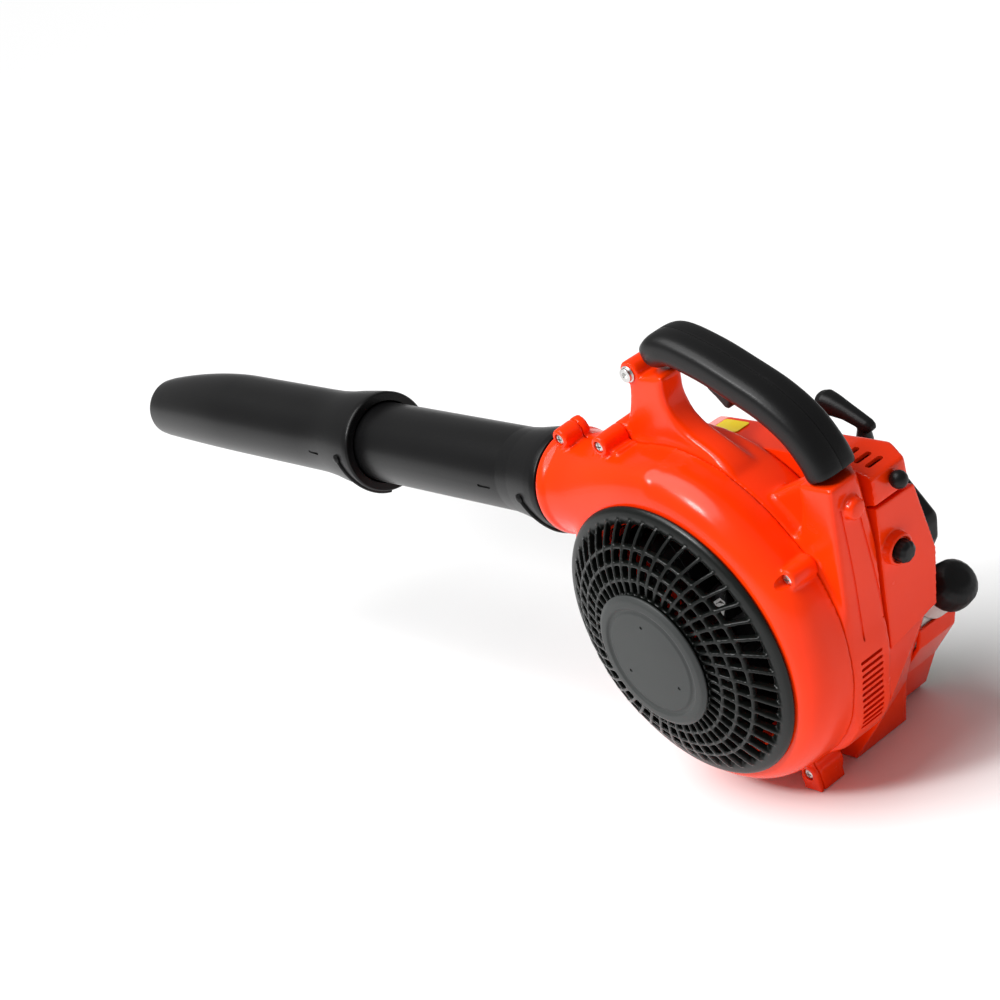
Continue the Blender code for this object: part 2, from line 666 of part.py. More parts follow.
def engine_cover():
    """The upper shell over the cylinder, with a sloping right shoulder and cooling slots behind."""
    wall = 0.0025
    left = ENGINE_LEFT_Y
    shell = prism("engine_cover", cover_outline(), COVER_RIGHT_Y, left)
    hollow = prism("hollow", cover_outline(wall), COVER_RIGHT_Y + wall, left - wall)
    for piece, shift in ((shell, 0.0), (hollow, wall)):
        roof = [(-0.0005 - shift * 0.3, 0.2495 - shift * 0.4), (-0.042, 0.2205 - shift),
                (-0.075, 0.2205 - shift), (-0.060, 0.270), (0.002, 0.270)]
        cut(piece, prism("roof", roof, -0.2, 0.1, plane="YZ"))
        corner = [(-0.160, 0.000 + shift), (-0.072, -0.0385 + shift), (-0.072, -0.080), (-0.180, -0.080)]
        cut(piece, prism("corner", corner, 0.0, 0.3, plane="XY"))
    cut(shell, hollow)
    for i in range(3):
        x = -0.1185 - 0.0075 * i
        cut(shell, block("vent", (x - 0.0018, 0.004, 0.230), (x + 0.0018, 0.019, 0.252)))
    cut(shell, disc("neck_hole", (0, -0.006, 0.186), 0.0105, -0.108, -0.095, axis=(1, 0, 0), sides=20))
    cut(shell, disc("choke_hole", (0, 0.007, 0.227), 0.0030, -0.150, -0.120, axis=(1, 0, 0), sides=12))
    cut(shell, block("exhaust_window", (0.050, -0.026, 0.150), (0.058, 0.006, 0.198)))
    cut(shell, disc("shaft_clear", axis_point(0), 0.031, -0.045, -0.030, sides=28), cable_channel())
    cut(shell, disc("wheel_clear", axis_point(0), FLYWHEEL_R + 0.002, 0.007, 0.030, sides=36))
    return smooth(shell)


def filter_ring(x_of, inner=0.0):
    outline = [(0.0240 - inner, 0.1035 + inner), (0.0240 - inner, 0.2130 - inner),
               (-0.0125 + inner, 0.2120 - inner),
               (-0.0270 + inner, 0.155), (-0.0225 + inner, 0.113 + inner)]
    return [(x_of(z), y, z) for y, z in outline]


def filter_cover():
    """A dished cover whose face leans with the rear wall, with a boss for its knob."""
    shell = loft("filter_cover", [filter_ring(lambda z: -0.1040), filter_ring(rear_x)])
    hollow = loft("hollow", [filter_ring(lambda z: -0.095, 0.0022),
                             filter_ring(lambda z: rear_x(z) + 0.0025, 0.0022)])
    cut(shell, hollow)
    join(shell, turned("boss", [(0, -0.002), (0.0125, -0.002), (0.0105, 0.0030), (0, 0.0030)], KNOB_AT,
                       REAR_NORMAL,
                       sides=20))
    cut(shell, disc("bolt_hole", KNOB_AT, 0.0030, -0.02, 0.02, axis=REAR_NORMAL, sides=12))
    return smooth(bevelled(shell, 0.0012, 1))


def filter_knob():
    profile = [(0, -0.0120), (0.0024, -0.0120), (0.0024, 0.0033), (0.0068, 0.0033), (0.0078, 0.0060),
               (0.0074, 0.0120), (0.0050, 0.0140), (0, 0.0140)]
    return turned("filter_knob", profile, KNOB_AT, REAR_NORMAL, sides=12)


# ---------------------------------------------------------------- starter

def starter_outline():
    return [(-0.036, 0.0855), (-0.062, 0.1060), (-0.079, 0.1280), (-0.084, 0.1460), (-0.060, 0.1800),
            (-0.040, 0.1920), (0.010, 0.1930), (0.050, 0.1780), (0.068, 0.1500), (0.068, 0.1180),
            (0.046, 0.0855)]


def rope_point(distance):
    """A point on the rope's straight run, measured from the housing's eyelet along the pull."""
    return Vector((ROPE_EXIT[0] + ROPE_DIRECTION[0] * distance, ROPE_Y,
                   ROPE_EXIT[1] + ROPE_DIRECTION[1] * distance))


def starter():
    """The recoil starter: housing, spring, reel, rope and pull grip."""
    housing = bevelled(prism("starter_housing", starter_outline(), STARTER_RIGHT_Y, STARTER_LEFT_Y,
                             "black_plastic"),
                       0.0035, 1)
    cut(housing, disc("drum", axis_point(0), 0.0425, -0.0753, -0.030, sides=28))
    join(housing, disc("post", axis_point(0), 0.0048, -0.0765, -0.0530, sides=14))
    join(housing, swept("eyelet", [rope_point(-0.024), rope_point(0.0)], 0.0072, sides=10))
    cut(housing, swept("rope_way", [rope_point(-0.090), rope_point(0.010)], 0.0036, sides=8))
    reel = turned("starter_reel", [(0.0053, -0.0645), (0.039, -0.0645), (0.039, -0.0615),
                                   (REEL_R - 0.002, -0.0615),
                                   (REEL_R - 0.002, -0.0545), (0.039, -0.0545), (0.039, -0.0520),
                                   (0.0053, -0.0520)],
                  axis_point(0), sides=22)
    spring = disc("recoil_spring", axis_point(0), 0.032, -0.0745, -0.0655, look="steel", sides=20,
                  inner=0.007)
    rope = swept("starter_rope", [rope_point(-0.078), rope_point(-0.035), rope_point(0.0105)], ROPE_R,
                 sides=6)
    grip = swept("starter_grip", [rope_point(0.0003), rope_point(0.0030), rope_point(0.0120),
                                  rope_point(0.0180)],
                 [0.0055, 0.0064, 0.0048, 0.0052], "black_plastic", 12)
    bar = []
    sizes = [0.0030, 0.0048, 0.0052, 0.0053, 0.0060, 0.0066, 0.0045]
    for along in (-0.008, -0.005, 0.004, 0.015, 0.026, 0.034, 0.038):
        bar.append(rope_point(0.0165) + Vector((0.905, 0, 0.425)) * along)
    join(grip, swept("bar", bar, sizes, sides=12))
    cut(grip, swept("rope_bore", [rope_point(-0.01), rope_point(0.0110)], 0.0030, sides=8))
    return [smooth(housing), reel, spring, rope, smooth(grip, 50)]


# ---------------------------------------------------------------- fuel tank

def tank_guard():
    """A cradle under the tank. Its flat underside stands on the ground with the base."""
    return smooth(prism("tank_guard", band(GUARD_LINE, 0.0030), -0.0670, HOUSING_RIGHT_Y - GAP))


def fuel_tank():
    def outline(clear):
        line = offset(GUARD_LINE, clear)
        top = 0.0825 - (clear - 0.0035)
        return [*line[:-1], (line[-1][0], top - 0.010), (line[-1][0] - 0.010, top), (-0.048, top),
                (-0.060, top + 0.0150), (line[0][0] + 0.004, top + 0.0150)]
    tank = bevelled(prism("fuel_tank", outline(0.0035), -0.0660, -0.0295, "tank_plastic"), 0.003, 1)
    join(tank, disc("neck", CAP_BASE, 0.0130, -0.022, 0.012, axis=CAP_AXIS, sides=20))
    cut(tank, prism("hollow", outline(0.0060), -0.0635, -0.0320))
    cut(tank, disc("filler", CAP_BASE, 0.0100, -0.030, 0.020, axis=CAP_AXIS, sides=20))
    return smooth(tank)


def fuel_cap():
    profile = [(0, 0.0125), (0.0134, 0.0125), (0.0134, 0.0015), (0.0168, 0.0015), (0.0174, 0.0090),
               (0.0165, 0.0165), (0.0125, 0.0215), (0.0065, 0.0238), (0, 0.0242)]
    return turned("fuel_cap", profile, CAP_BASE, CAP_AXIS, sides=28)


def fuel_line():
    route = [(-0.053, -0.0206, 0.176), (-0.055, -0.0270, 0.172), (-0.060, -0.0318, 0.155),
             (-0.064, -0.0324, 0.125),
             (-0.066, -0.0324, 0.0985)]
    line = swept("fuel_line", spline(route, 3), 0.0022, sides=8)
    return line


# ---------------------------------------------------------------- handle

def grip_solid(name, grow, sides=12, steps=1):
    path = spline([(x, HANDLE_Y, z) for x, z in GRIP_LINE], steps)
    last = len(path) - 1
    radii = []
    for i in range(len(path)):
        near_end = min(i, last - i)
        radii.append((GRIP_HALF_HEIGHT if near_end else GRIP_HALF_HEIGHT * 0.80) + grow)
    start = path[0] + (path[0] - path[1]).normalized() * (0.0075 + grow)
    path = [start, *path]
    radii = [GRIP_HALF_HEIGHT * 0.42 + grow, *radii]
    return swept(name, path, radii, "black_plastic", sides, GRIP_HALF_WIDTH / GRIP_HALF_HEIGHT)


def cable_route():
    return spline([(-0.080, 0.045, 0.3060), (-0.100, 0.045, 0.2960), (-0.118, 0.045, 0.2800),
                   (-0.1250, 0.0430, 0.2620), (-0.1230, 0.0360, 0.2450), (-0.1150, 0.0270, 0.2330),
                   (-0.1000, 0.0170, 0.2210), (-0.0780, 0.0110, 0.2100), (-0.0560, 0.0085, 0.2030)], 2)


def cable_channel():
    return swept("cable_channel", cable_route(), 0.0034, sides=8)


def handle_pieces():
    """Two grip shells split along the middle, with the trigger, its pin and its return spring."""
    shell = grip_solid("handle_grip_left", 0.0)
    inside = spline([(x, HANDLE_Y, z) for x, z in GRIP_LINE], 1)[1:-1]
    cut(shell, swept("inside", inside, GRIP_HALF_HEIGHT - 0.0032, sides=10, flatten=1.06))
    cut(shell, block("trigger_slot", (-0.0790, 0.0388, 0.280), (-0.0408, 0.0512, 0.3130)))
    cut(shell, cable_channel(), disc("pin_hole", TRIGGER_AXIS, 0.0019, -0.0122, 0.0122, sides=12),
        block("spring_pocket", (-0.0520, 0.0500, 0.3075), (-0.0415, 0.0548, 0.3175)))
    right = shell.copy()
    right.data = shell.data.copy()
    right.name = "handle_grip_right"
    bpy.context.scene.collection.objects.link(right)
    cut(shell, block("right_half", (-0.3, -0.1, 0.0), (0.3, HANDLE_Y + GAP / 2, 0.5)))
    cut(right, block("left_half", (-0.3, HANDLE_Y - GAP / 2, 0.0), (0.3, 0.3, 0.5)),
        block("switch_pocket", (-0.0480, 0.020, 0.3170), (-0.0280, 0.0345, 0.3290)))
    outline = [(-0.0420, 0.3160), (-0.0425, 0.3060), (-0.0445, 0.3010), (-0.0500, 0.2960),
               (-0.0560, 0.2890),
               (-0.0595, 0.2880), (-0.0610, 0.2910), (-0.0660, 0.2975), (-0.0740, 0.3010),
               (-0.0740, 0.3050),
               (-0.0560, 0.3130), (-0.0480, 0.3185)]
    trigger = prism("throttle_trigger", outline, 0.0398, 0.0502, "black_plastic")
    cut(trigger, disc("hole", TRIGGER_AXIS, 0.0019, -0.02, 0.02, sides=12))
    pin = disc("trigger_pin", TRIGGER_AXIS, 0.0016, -0.0118, 0.0118, look="steel", sides=12)
    spring = disc("trigger_spring", TRIGGER_AXIS, 0.0040, 0.0055, 0.0090, look="steel", sides=14,
                  inner=0.0024)
    switch = block("stop_switch", (-0.0470, 0.0265, 0.3180), (-0.0290, 0.0325, 0.3280), "red_plastic")
    cable = swept("throttle_cable", cable_route(), 0.0021, sides=8)
    return [smooth(shell), smooth(right), bevelled(trigger, 0.0015, 1), pin, spring,
            bevelled(switch, 0.0012, 1), cable]


# ---------------------------------------------------------------- air tubes

def straight_pipe():
    """A plain pipe with a flared collar against the outlet and a bayonet pin on the collar."""
    profile = [(PIPE_R - PIPE_WALL, PIPE_START_X), (PIPE_R, PIPE_START_X), (PIPE_R, OUTLET_END_X + 0.001),
               (OUTLET_R, OUTLET_END_X + 0.001), (OUTLET_R, 0.1200), (0.0350, 0.1380), (PIPE_R, 0.1660),
               (PIPE_R, PIPE_END_X), (PIPE_R - PIPE_WALL, PIPE_END_X)]
    pipe = turned("straight_pipe", profile, (0, TUBE_Y, TUBE_Z), (1, 0, 0), sides=22)
    join(pipe, block("pin", (0.1320, TUBE_Y + 0.029, TUBE_Z - 0.004),
                     (0.1400, TUBE_Y + 0.0362, TUBE_Z + 0.004)))
    return smooth(pipe)


def nozzle_ring(x, r, drop=0.0, sides=22):
    return [(x, TUBE_Y + r * math.cos(2 * math.pi * k / sides),
             TUBE_Z - drop + r * math.sin(2 * math.pi * k / sides))
            for k in range(sides)]


def nozzle_tube():
    """A socket, a straight run, then a taper whose underside stays straight."""
    body_r = 0.0330
    taper_x = 0.5600
    rings = [nozzle_ring(NOZZLE_START_X, NOZZLE_COLLAR_R), nozzle_ring(0.3550, NOZZLE_COLLAR_R),
             nozzle_ring(0.3750, 0.0374), nozzle_ring(0.4120, body_r + 0.0003),
             nozzle_ring(taper_x, body_r)]
    hollow = [nozzle_ring(NOZZLE_START_X - 0.01, 0.0315), nozzle_ring(0.3930, 0.0315),
              nozzle_ring(0.3950, body_r - 0.0026), nozzle_ring(taper_x, body_r - 0.0026)]
    for k in range(1, 4):
        share = k / 3
        x = taper_x + (NOZZLE_END_X - taper_x) * share
        r = body_r + (NOZZLE_TIP_R - body_r) * share ** 1.6
        rings.append(nozzle_ring(x, r, body_r - r))
        hollow.append(nozzle_ring(x + (0.01 if k == 3 else 0), r - 0.0026, body_r - r))
    nozzle = cut(loft("nozzle_tube", rings, "black_plastic"), loft("hollow", hollow))
    pin = block("pin", (0.3540, TUBE_Y + 0.035, TUBE_Z - 0.003), (0.3620, TUBE_Y + 0.0412, TUBE_Z + 0.005))
    return smooth(join(nozzle, pin))


# ---------------------------------------------------------------- trim

def small_parts():
    plate = block("label_plate", (-0.012, -0.001, 0.2463), (0.012, 0.013, 0.2469), "yellow_label")
    ear_screw = turned("handle_screw", [(0, 0.0618), (0.0045, 0.0618), (0.0045, 0.0635), (0, 0.0645)],
                       (0.0165, 0, 0.3125), look="steel", sides=14)
    return [plate, ear_screw]


def main():
    for obj in list(bpy.data.objects):
        bpy.data.objects.remove(obj)
    case_halves()
    case_screws()
    intake_grille()
    hub_plate()
    rotor_pieces()
    crank_train()
    crankcase()
    bearings()
    cylinder()
    ignition()
    fuel_system()
    exhaust()
    engine_housing()
    engine_cover()
    filter_cover()
    filter_knob()
    starter()
    tank_guard()
    fuel_tank()
    fuel_cap()
    fuel_line()
    handle_pieces()
    straight_pipe()
    nozzle_tube()
    small_parts()


main()
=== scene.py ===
"""Looks of a handheld petrol leaf blower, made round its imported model.

Everything is in metres in the model's own frame: +X is the blowing direction, +Y the intake
side, +Z up, and the origin is the middle of the flat base, straight below the crankshaft.
"""

import json
import logging
import math
from collections.abc import Callable, Sequence
from dataclasses import dataclass, field
from enum import Enum

import bmesh
import bpy
from mathutils import Matrix, Vector


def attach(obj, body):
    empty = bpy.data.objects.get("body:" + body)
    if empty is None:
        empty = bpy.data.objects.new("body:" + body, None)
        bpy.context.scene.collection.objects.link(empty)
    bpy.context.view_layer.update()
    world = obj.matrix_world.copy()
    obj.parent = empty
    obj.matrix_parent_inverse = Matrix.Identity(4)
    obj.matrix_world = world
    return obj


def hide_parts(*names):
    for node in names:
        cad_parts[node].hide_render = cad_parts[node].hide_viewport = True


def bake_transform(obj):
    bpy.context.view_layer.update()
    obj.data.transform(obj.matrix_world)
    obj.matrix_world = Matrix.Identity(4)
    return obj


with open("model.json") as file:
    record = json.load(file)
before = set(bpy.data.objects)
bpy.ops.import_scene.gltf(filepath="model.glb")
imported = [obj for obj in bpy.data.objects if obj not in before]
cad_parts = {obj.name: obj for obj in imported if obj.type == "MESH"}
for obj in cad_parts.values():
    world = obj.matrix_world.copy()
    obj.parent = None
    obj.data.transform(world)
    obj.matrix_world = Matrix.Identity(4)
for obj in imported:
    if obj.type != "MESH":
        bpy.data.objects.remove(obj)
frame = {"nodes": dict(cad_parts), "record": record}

Obj = bpy.types.Object
Pair = tuple[float, float]
Triple = tuple[float, float, float]
Colour = Triple

LOG = logging.getLogger("leaf_blower")

X, Y, Z = 0, 1, 2
AHEAD = (1, 0, 0)
MERGE = 1e-6
FAR = 0.5


class Body(str, Enum):
    """The bodies that a piece can ride on."""

    BODY = "body"
    ROTOR = "rotor"
    TRIGGER = "trigger"
    CHOKE = "choke"
    FILTER_LID = "filter_lid"
    KNOB = "knob"
    CAP = "cap"
    PULL = "pull"
    PIPE = "pipe"
    NOZZLE = "nozzle"
    SWITCH = "switch"


class Solid(str, Enum):
    """What a Boolean does with its second solid."""

    JOIN = "UNION"
    CUT = "DIFFERENCE"


class Plane(Enum):
    """The two axes of an outline's plane, then the axis that it is extruded along."""

    XZ = (X, Z, Y)
    YZ = (Y, Z, X)
    XY = (X, Y, Z)


# ---------------------------------------------------------------- shader graph


class Value:
    """A number socket that takes part in arithmetic by adding Math nodes."""

    def __init__(self, graph: "Graph", socket: bpy.types.NodeSocket) -> None:
        """Wraps a socket of the graph."""
        self.graph = graph
        self.socket = socket

    def _math(self, operation: str, first: object, second: object) -> "Value":
        """One Math node on two operands, each a Value or a number."""
        node = self.graph.node("ShaderNodeMath", {"operation": operation},
                               {"Value": first, "Value_001": second})
        return Value(self.graph, node.outputs[0])

    def __add__(self, other: object) -> "Value":
        """self + other."""
        return self._math("ADD", self, other)

    __radd__ = __add__

    def __sub__(self, other: object) -> "Value":
        """self - other."""
        return self._math("SUBTRACT", self, other)

    def __rsub__(self, other: object) -> "Value":
        """other - self."""
        return self._math("SUBTRACT", other, self)

    def __mul__(self, other: object) -> "Value":
        """self * other."""
        return self._math("MULTIPLY", self, other)

    __rmul__ = __mul__


class Graph:
    """A material's node tree with one Principled shader."""

    def __init__(self, name: str) -> None:
        """Starts a material of that name."""
        self.material = bpy.data.materials.new(name)
        self.material.use_nodes = True
        self.tree = self.material.node_tree
        self.shader = self.tree.nodes["Principled BSDF"]
        self.place = self.node("ShaderNodeTexCoord").outputs["Object"]

    def node(self, kind: str, settings: dict | None = None, inputs: dict | None = None) -> bpy.types.Node:
        """Adds a node.

        Args:
            kind: The node's type.
            settings: Properties set first; "stops" are a ramp's (place, colour) pairs.
            inputs: Socket identifier or name to a number, a colour, a socket or a Value.

        Returns:
            The new node.
        """
        node = self.tree.nodes.new(kind)
        for key, value in (settings or {}).items():
            if key == "stops":
                ramp = node.color_ramp
                while len(ramp.elements) < len(value):
                    ramp.elements.new(0.5)
                for element, (place, colour) in zip(ramp.elements, value):
                    element.position = place
                    element.color = (*colour, 1.0)
            else:
                setattr(node, key, value)
        for key, value in (inputs or {}).items():
            self.feed(node, key, value)
        return node

    def feed(self, node: bpy.types.Node, key: str, value: object) -> None:
        """Sets or links one input of a node, found by identifier and then by name."""
        socket = next((s for s in node.inputs if s.identifier == key), None) or node.inputs[key]
        if isinstance(value, Value):
            value = value.socket
        if isinstance(value, bpy.types.NodeSocket):
            self.tree.links.new(value, socket)
        elif socket.type == "RGBA":
            socket.default_value = (*value, 1.0)[:4]
        else:
            socket.default_value = value

    def stretched(self, scale: Triple) -> bpy.types.NodeSocket:
        """The object's coordinates, scaled differently along X, Y and Z."""
        return self.node("ShaderNodeMapping", {}, {"Vector": self.place, "Scale": scale}).outputs[0]

    def noise(self, scale: float, detail: float = 3.0, along: Triple | None = None) -> Value:
        """Noise from 0 to 1; along stretches it."""
        place = self.stretched(along) if along else self.place
        node = self.node("ShaderNodeTexNoise", {}, {"Vector": place, "Scale": scale, "Detail": detail})
        return Value(self, node.outputs[0])

    def above(self, value: Value, low: float, high: float) -> Value:
        """0 where value is under low, 1 where it is over high, with a soft step between."""
        node = self.node("ShaderNodeMapRange", {"interpolation_type": "SMOOTHSTEP"},
                         {"Value": value, "From Min": low, "From Max": high})
        return Value(self, node.outputs[0])

    def mix(self, share: object, first: object, second: object) -> bpy.types.NodeSocket:
        """A colour between two colours."""
        node = self.node("ShaderNodeMix", {"data_type": "RGBA"},
                         {"Factor_Float": share, "A_Color": first, "B_Color": second})
        return next(s for s in node.outputs if s.identifier == "Result_Color")

    def worn_edges(self) -> Value:
        """1 on convex edges and 0 elsewhere."""
        point = self.node("ShaderNodeNewGeometry").outputs["Pointiness"]
        return self.above(Value(self, point), 0.53, 0.60)

    def height_axis(self) -> Value:
        """The height above the base."""
        return Value(self, self.node("ShaderNodeSeparateXYZ", {}, {"Vector": self.place}).outputs["Z"])

    def bump(self, height: Value, strength: float, distance: float) -> None:
        """Feeds the shader's normal from a height."""
        node = self.node("ShaderNodeBump", {},
                         {"Height": height, "Strength": strength, "Distance": distance})
        self.feed(self.shader, "Normal", node.outputs[0])

    def dress(self, **inputs: object) -> bpy.types.Material:
        """Sets the shader's inputs, with underscores for spaces, and returns the material."""
        for key, value in inputs.items():
            self.feed(self.shader, key.replace("_", " "), value)
        return self.material


# ---------------------------------------------------------------- finishes


@dataclass(frozen=True)
class MouldedPlastic:
    """Injection-moulded plastic: slow flow marks, a fine skin and light wear on edges."""

    name: str
    colour: Colour
    deep: Colour
    worn: Colour
    roughness: float
    coat: float
    gleam: float
    skin_scale: float
    skin: float

    def material(self) -> bpy.types.Material:
        """Builds the node tree."""
        graph = Graph(self.name)
        flow = graph.noise(9.0, 2.0, (1.0, 0.6, 1.6))
        colour = graph.mix(graph.above(flow, 0.32, 0.72), self.colour, self.deep)
        scuffs = graph.above(graph.noise(55.0, 5.0, (0.35, 1.0, 1.0)), 0.66, 0.80)
        wear = graph.worn_edges() * graph.above(graph.noise(38.0, 4.0), 0.42, 0.66)
        colour = graph.mix(wear * 0.3, colour, self.worn)
        skin = graph.noise(self.skin_scale, 2.0)
        graph.bump(skin + flow * 0.6, self.skin, 0.0006)
        rough = skin * 0.06 + scuffs * 0.10 + (self.roughness - 0.03)
        return graph.dress(Base_Color=colour, Roughness=rough, Coat_Weight=self.coat, Coat_Roughness=0.10,
                           Specular_IOR_Level=self.gleam, IOR=1.49)


@dataclass(frozen=True)
class TranslucentTank:
    """Milky blow-moulded plastic with fuel standing in its lower half."""

    name: str
    colour: Colour
    fuel: Colour
    level: float

    def material(self) -> bpy.types.Material:
        """Builds the node tree."""
        graph = Graph(self.name)
        mottle = graph.noise(30.0, 3.0)
        dry = graph.above(graph.height_axis(), self.level - 0.0015, self.level + 0.0015)
        colour = graph.mix(dry, self.fuel, self.colour)
        colour = graph.mix(mottle * 0.25, colour, (0.95, 0.95, 0.92))
        graph.bump(graph.noise(420.0, 2.0) + mottle, 0.10, 0.0006)
        return graph.dress(Base_Color=colour, Roughness=mottle * 0.12 + 0.30, Transmission_Weight=0.25,
                           IOR=1.5)


@dataclass(frozen=True)
class Metal:
    """Cast, turned or pressed metal; along sets which way its marks run."""

    name: str
    colour: Colour
    dull: Colour
    roughness: float
    along: Triple
    mark_scale: float
    relief: float

    def material(self) -> bpy.types.Material:
        """Builds the node tree."""
        graph = Graph(self.name)
        marks = graph.noise(self.mark_scale, 3.0, self.along)
        stains = graph.above(graph.noise(24.0, 5.0), 0.45, 0.75)
        graph.bump(marks, self.relief, 0.0005)
        return graph.dress(Base_Color=graph.mix(stains, self.colour, self.dull),
                           Metallic=1.0 - stains * 0.15,
                           Roughness=marks * 0.16 + stains * 0.15 + (self.roughness - 0.08))


@dataclass(frozen=True)
class Rubber:
    """Matte hose and lead rubber with a dusty bloom."""

    name: str
    colour: Colour
    bloom: Colour

    def material(self) -> bpy.types.Material:
        """Builds the node tree."""
        graph = Graph(self.name)
        dust = graph.above(graph.noise(60.0, 5.0), 0.5, 0.8)
        graph.bump(graph.noise(900.0, 2.0), 0.15, 0.0004)
        return graph.dress(Base_Color=graph.mix(dust * 0.5, self.colour, self.bloom),
                           Roughness=dust * 0.15 + 0.62)


@dataclass(frozen=True)
class BraidedRope:
    """A braided pull rope: crossing strands along its length."""

    name: str
    colour: Colour
    gap: Colour
    pitch: float

    def material(self) -> bpy.types.Material:
        """Builds the node tree."""
        graph = Graph(self.name)
        weave = []
        for lean in (1.0, -1.0):
            place = graph.stretched((lean, 1.0, 1.0))
            wave = graph.node("ShaderNodeTexWave", {"wave_type": "BANDS", "bands_direction": "DIAGONAL"},
                              {"Vector": place, "Scale": self.pitch})
            weave.append(Value(graph, wave.outputs["Fac"]))
        strands = weave[0] * weave[1]
        graph.bump(strands, 0.6, 0.0004)
        return graph.dress(Base_Color=graph.mix(strands, self.gap, self.colour),
                           Roughness=0.8 - strands * 0.15)


@dataclass(frozen=True)
class Foam:
    """Open-cell filter foam."""

    name: str
    colour: Colour
    cell: Colour

    def material(self) -> bpy.types.Material:
        """Builds the node tree."""
        graph = Graph(self.name)
        cells = graph.node("ShaderNodeTexVoronoi", {"feature": "F1"},
                           {"Vector": graph.place, "Scale": 700.0})
        depth = Value(graph, cells.outputs["Distance"])
        graph.bump(depth, 0.8, 0.0008)
        return graph.dress(Base_Color=graph.mix(depth, self.cell, self.colour), Roughness=1.0 - depth * 0.1)


RED = MouldedPlastic(
    name="orange_red_shell", colour=(0.93, 0.038, 0.001), deep=(0.84, 0.029, 0.001),
    worn=(0.93, 0.052, 0.004), roughness=0.22, coat=0.08, gleam=0.18, skin_scale=420.0, skin=0.018)
BLACK = MouldedPlastic(
    name="black_satin_plastic", colour=(0.0042, 0.0042, 0.0044), deep=(0.003, 0.003, 0.0032),
    worn=(0.016, 0.016, 0.016), roughness=0.40, coat=0.02, gleam=0.22, skin_scale=900.0, skin=0.14)
TUBE = MouldedPlastic(
    name="black_tube_plastic", colour=(0.0036, 0.0036, 0.0038), deep=(0.0026, 0.0026, 0.0028),
    worn=(0.011, 0.011, 0.011), roughness=0.33, coat=0.02, gleam=0.20, skin_scale=620.0, skin=0.08)
GRILLE = MouldedPlastic(
    name="grille_plastic", colour=(0.0036, 0.0046, 0.0040), deep=(0.0026, 0.0034, 0.003),
    worn=(0.014, 0.017, 0.016), roughness=0.32, coat=0.03, gleam=0.26, skin_scale=700.0, skin=0.06)
HUB = MouldedPlastic(
    name="grey_hub_plastic", colour=(0.034, 0.037, 0.036), deep=(0.028, 0.030, 0.030),
    worn=(0.06, 0.06, 0.06), roughness=0.50, coat=0.0, gleam=0.30, skin_scale=1100.0, skin=0.20)
LABEL = MouldedPlastic(
    name="blank_yellow_label", colour=(1.0, 0.78, 0.001), deep=(0.94, 0.72, 0.001),
    worn=(0.9, 0.8, 0.2), roughness=0.35, coat=0.20, gleam=0.30, skin_scale=300.0, skin=0.02)
TANK = TranslucentTank(
    name="milky_tank_plastic", colour=(0.86, 0.86, 0.82), fuel=(0.74, 0.70, 0.52), level=0.052)
ALLOY = Metal(
    name="cast_alloy", colour=(0.58, 0.58, 0.60), dull=(0.30, 0.30, 0.31), roughness=0.48,
    along=(1.0, 1.0, 1.0), mark_scale=260.0, relief=0.30)
STEEL = Metal(
    name="zinc_plated_steel", colour=(0.62, 0.62, 0.61), dull=(0.36, 0.35, 0.33), roughness=0.30,
    along=(1.0, 1.0, 0.06), mark_scale=900.0, relief=0.06)
HOSE = Rubber(name="hose_rubber", colour=(0.018, 0.018, 0.018), bloom=(0.09, 0.085, 0.08))
ROPE = BraidedRope(
    name="braided_rope", colour=(0.035, 0.035, 0.036), gap=(0.006, 0.006, 0.006), pitch=420.0)
FOAM = Foam(name="filter_foam", colour=(0.10, 0.10, 0.10), cell=(0.015, 0.015, 0.015))

SLOT_FINISH = {"red_plastic": RED, "black_plastic": BLACK, "grille_plastic": GRILLE, "grey_plastic": HUB,
               "yellow_label": LABEL, "tank_plastic": TANK, "cast_alloy": ALLOY, "steel": STEEL,
               "black_rubber": HOSE, "filter_foam": FOAM}


class Paint:
    """Makes each finish's material once."""

    made: dict[str, bpy.types.Material] = {}

    @classmethod
    def of(cls, finish: object) -> bpy.types.Material:
        """The material of that finish."""
        if finish.name not in cls.made:
            cls.made[finish.name] = finish.material()
        return cls.made[finish.name]


# ---------------------------------------------------------------- mesh making


def eased(share: float) -> float:
    """A share from 0 to 1 with a slow start and a slow end."""
    return share * share * (3 - 2 * share)


def squared(part: float, power: float) -> float:
    """A sine or cosine raised to a power with its sign kept, for a superellipse."""
    return math.copysign(abs(part) ** power, part)


def added(name: str, data: bpy.types.ID) -> Obj:
    """A new object in the scene."""
    obj = bpy.data.objects.new(name, data)
    bpy.context.scene.collection.objects.link(obj)
    return obj


def cleaned(mesh: bpy.types.Mesh) -> bpy.types.Mesh:
    """The mesh with doubled points merged and every face turned outwards."""
    work = bmesh.new()
    work.from_mesh(mesh)
    bmesh.ops.remove_doubles(work, verts=work.verts, dist=MERGE)
    bmesh.ops.recalc_face_normals(work, faces=work.faces)
    work.to_mesh(mesh)
    work.free()
    return mesh


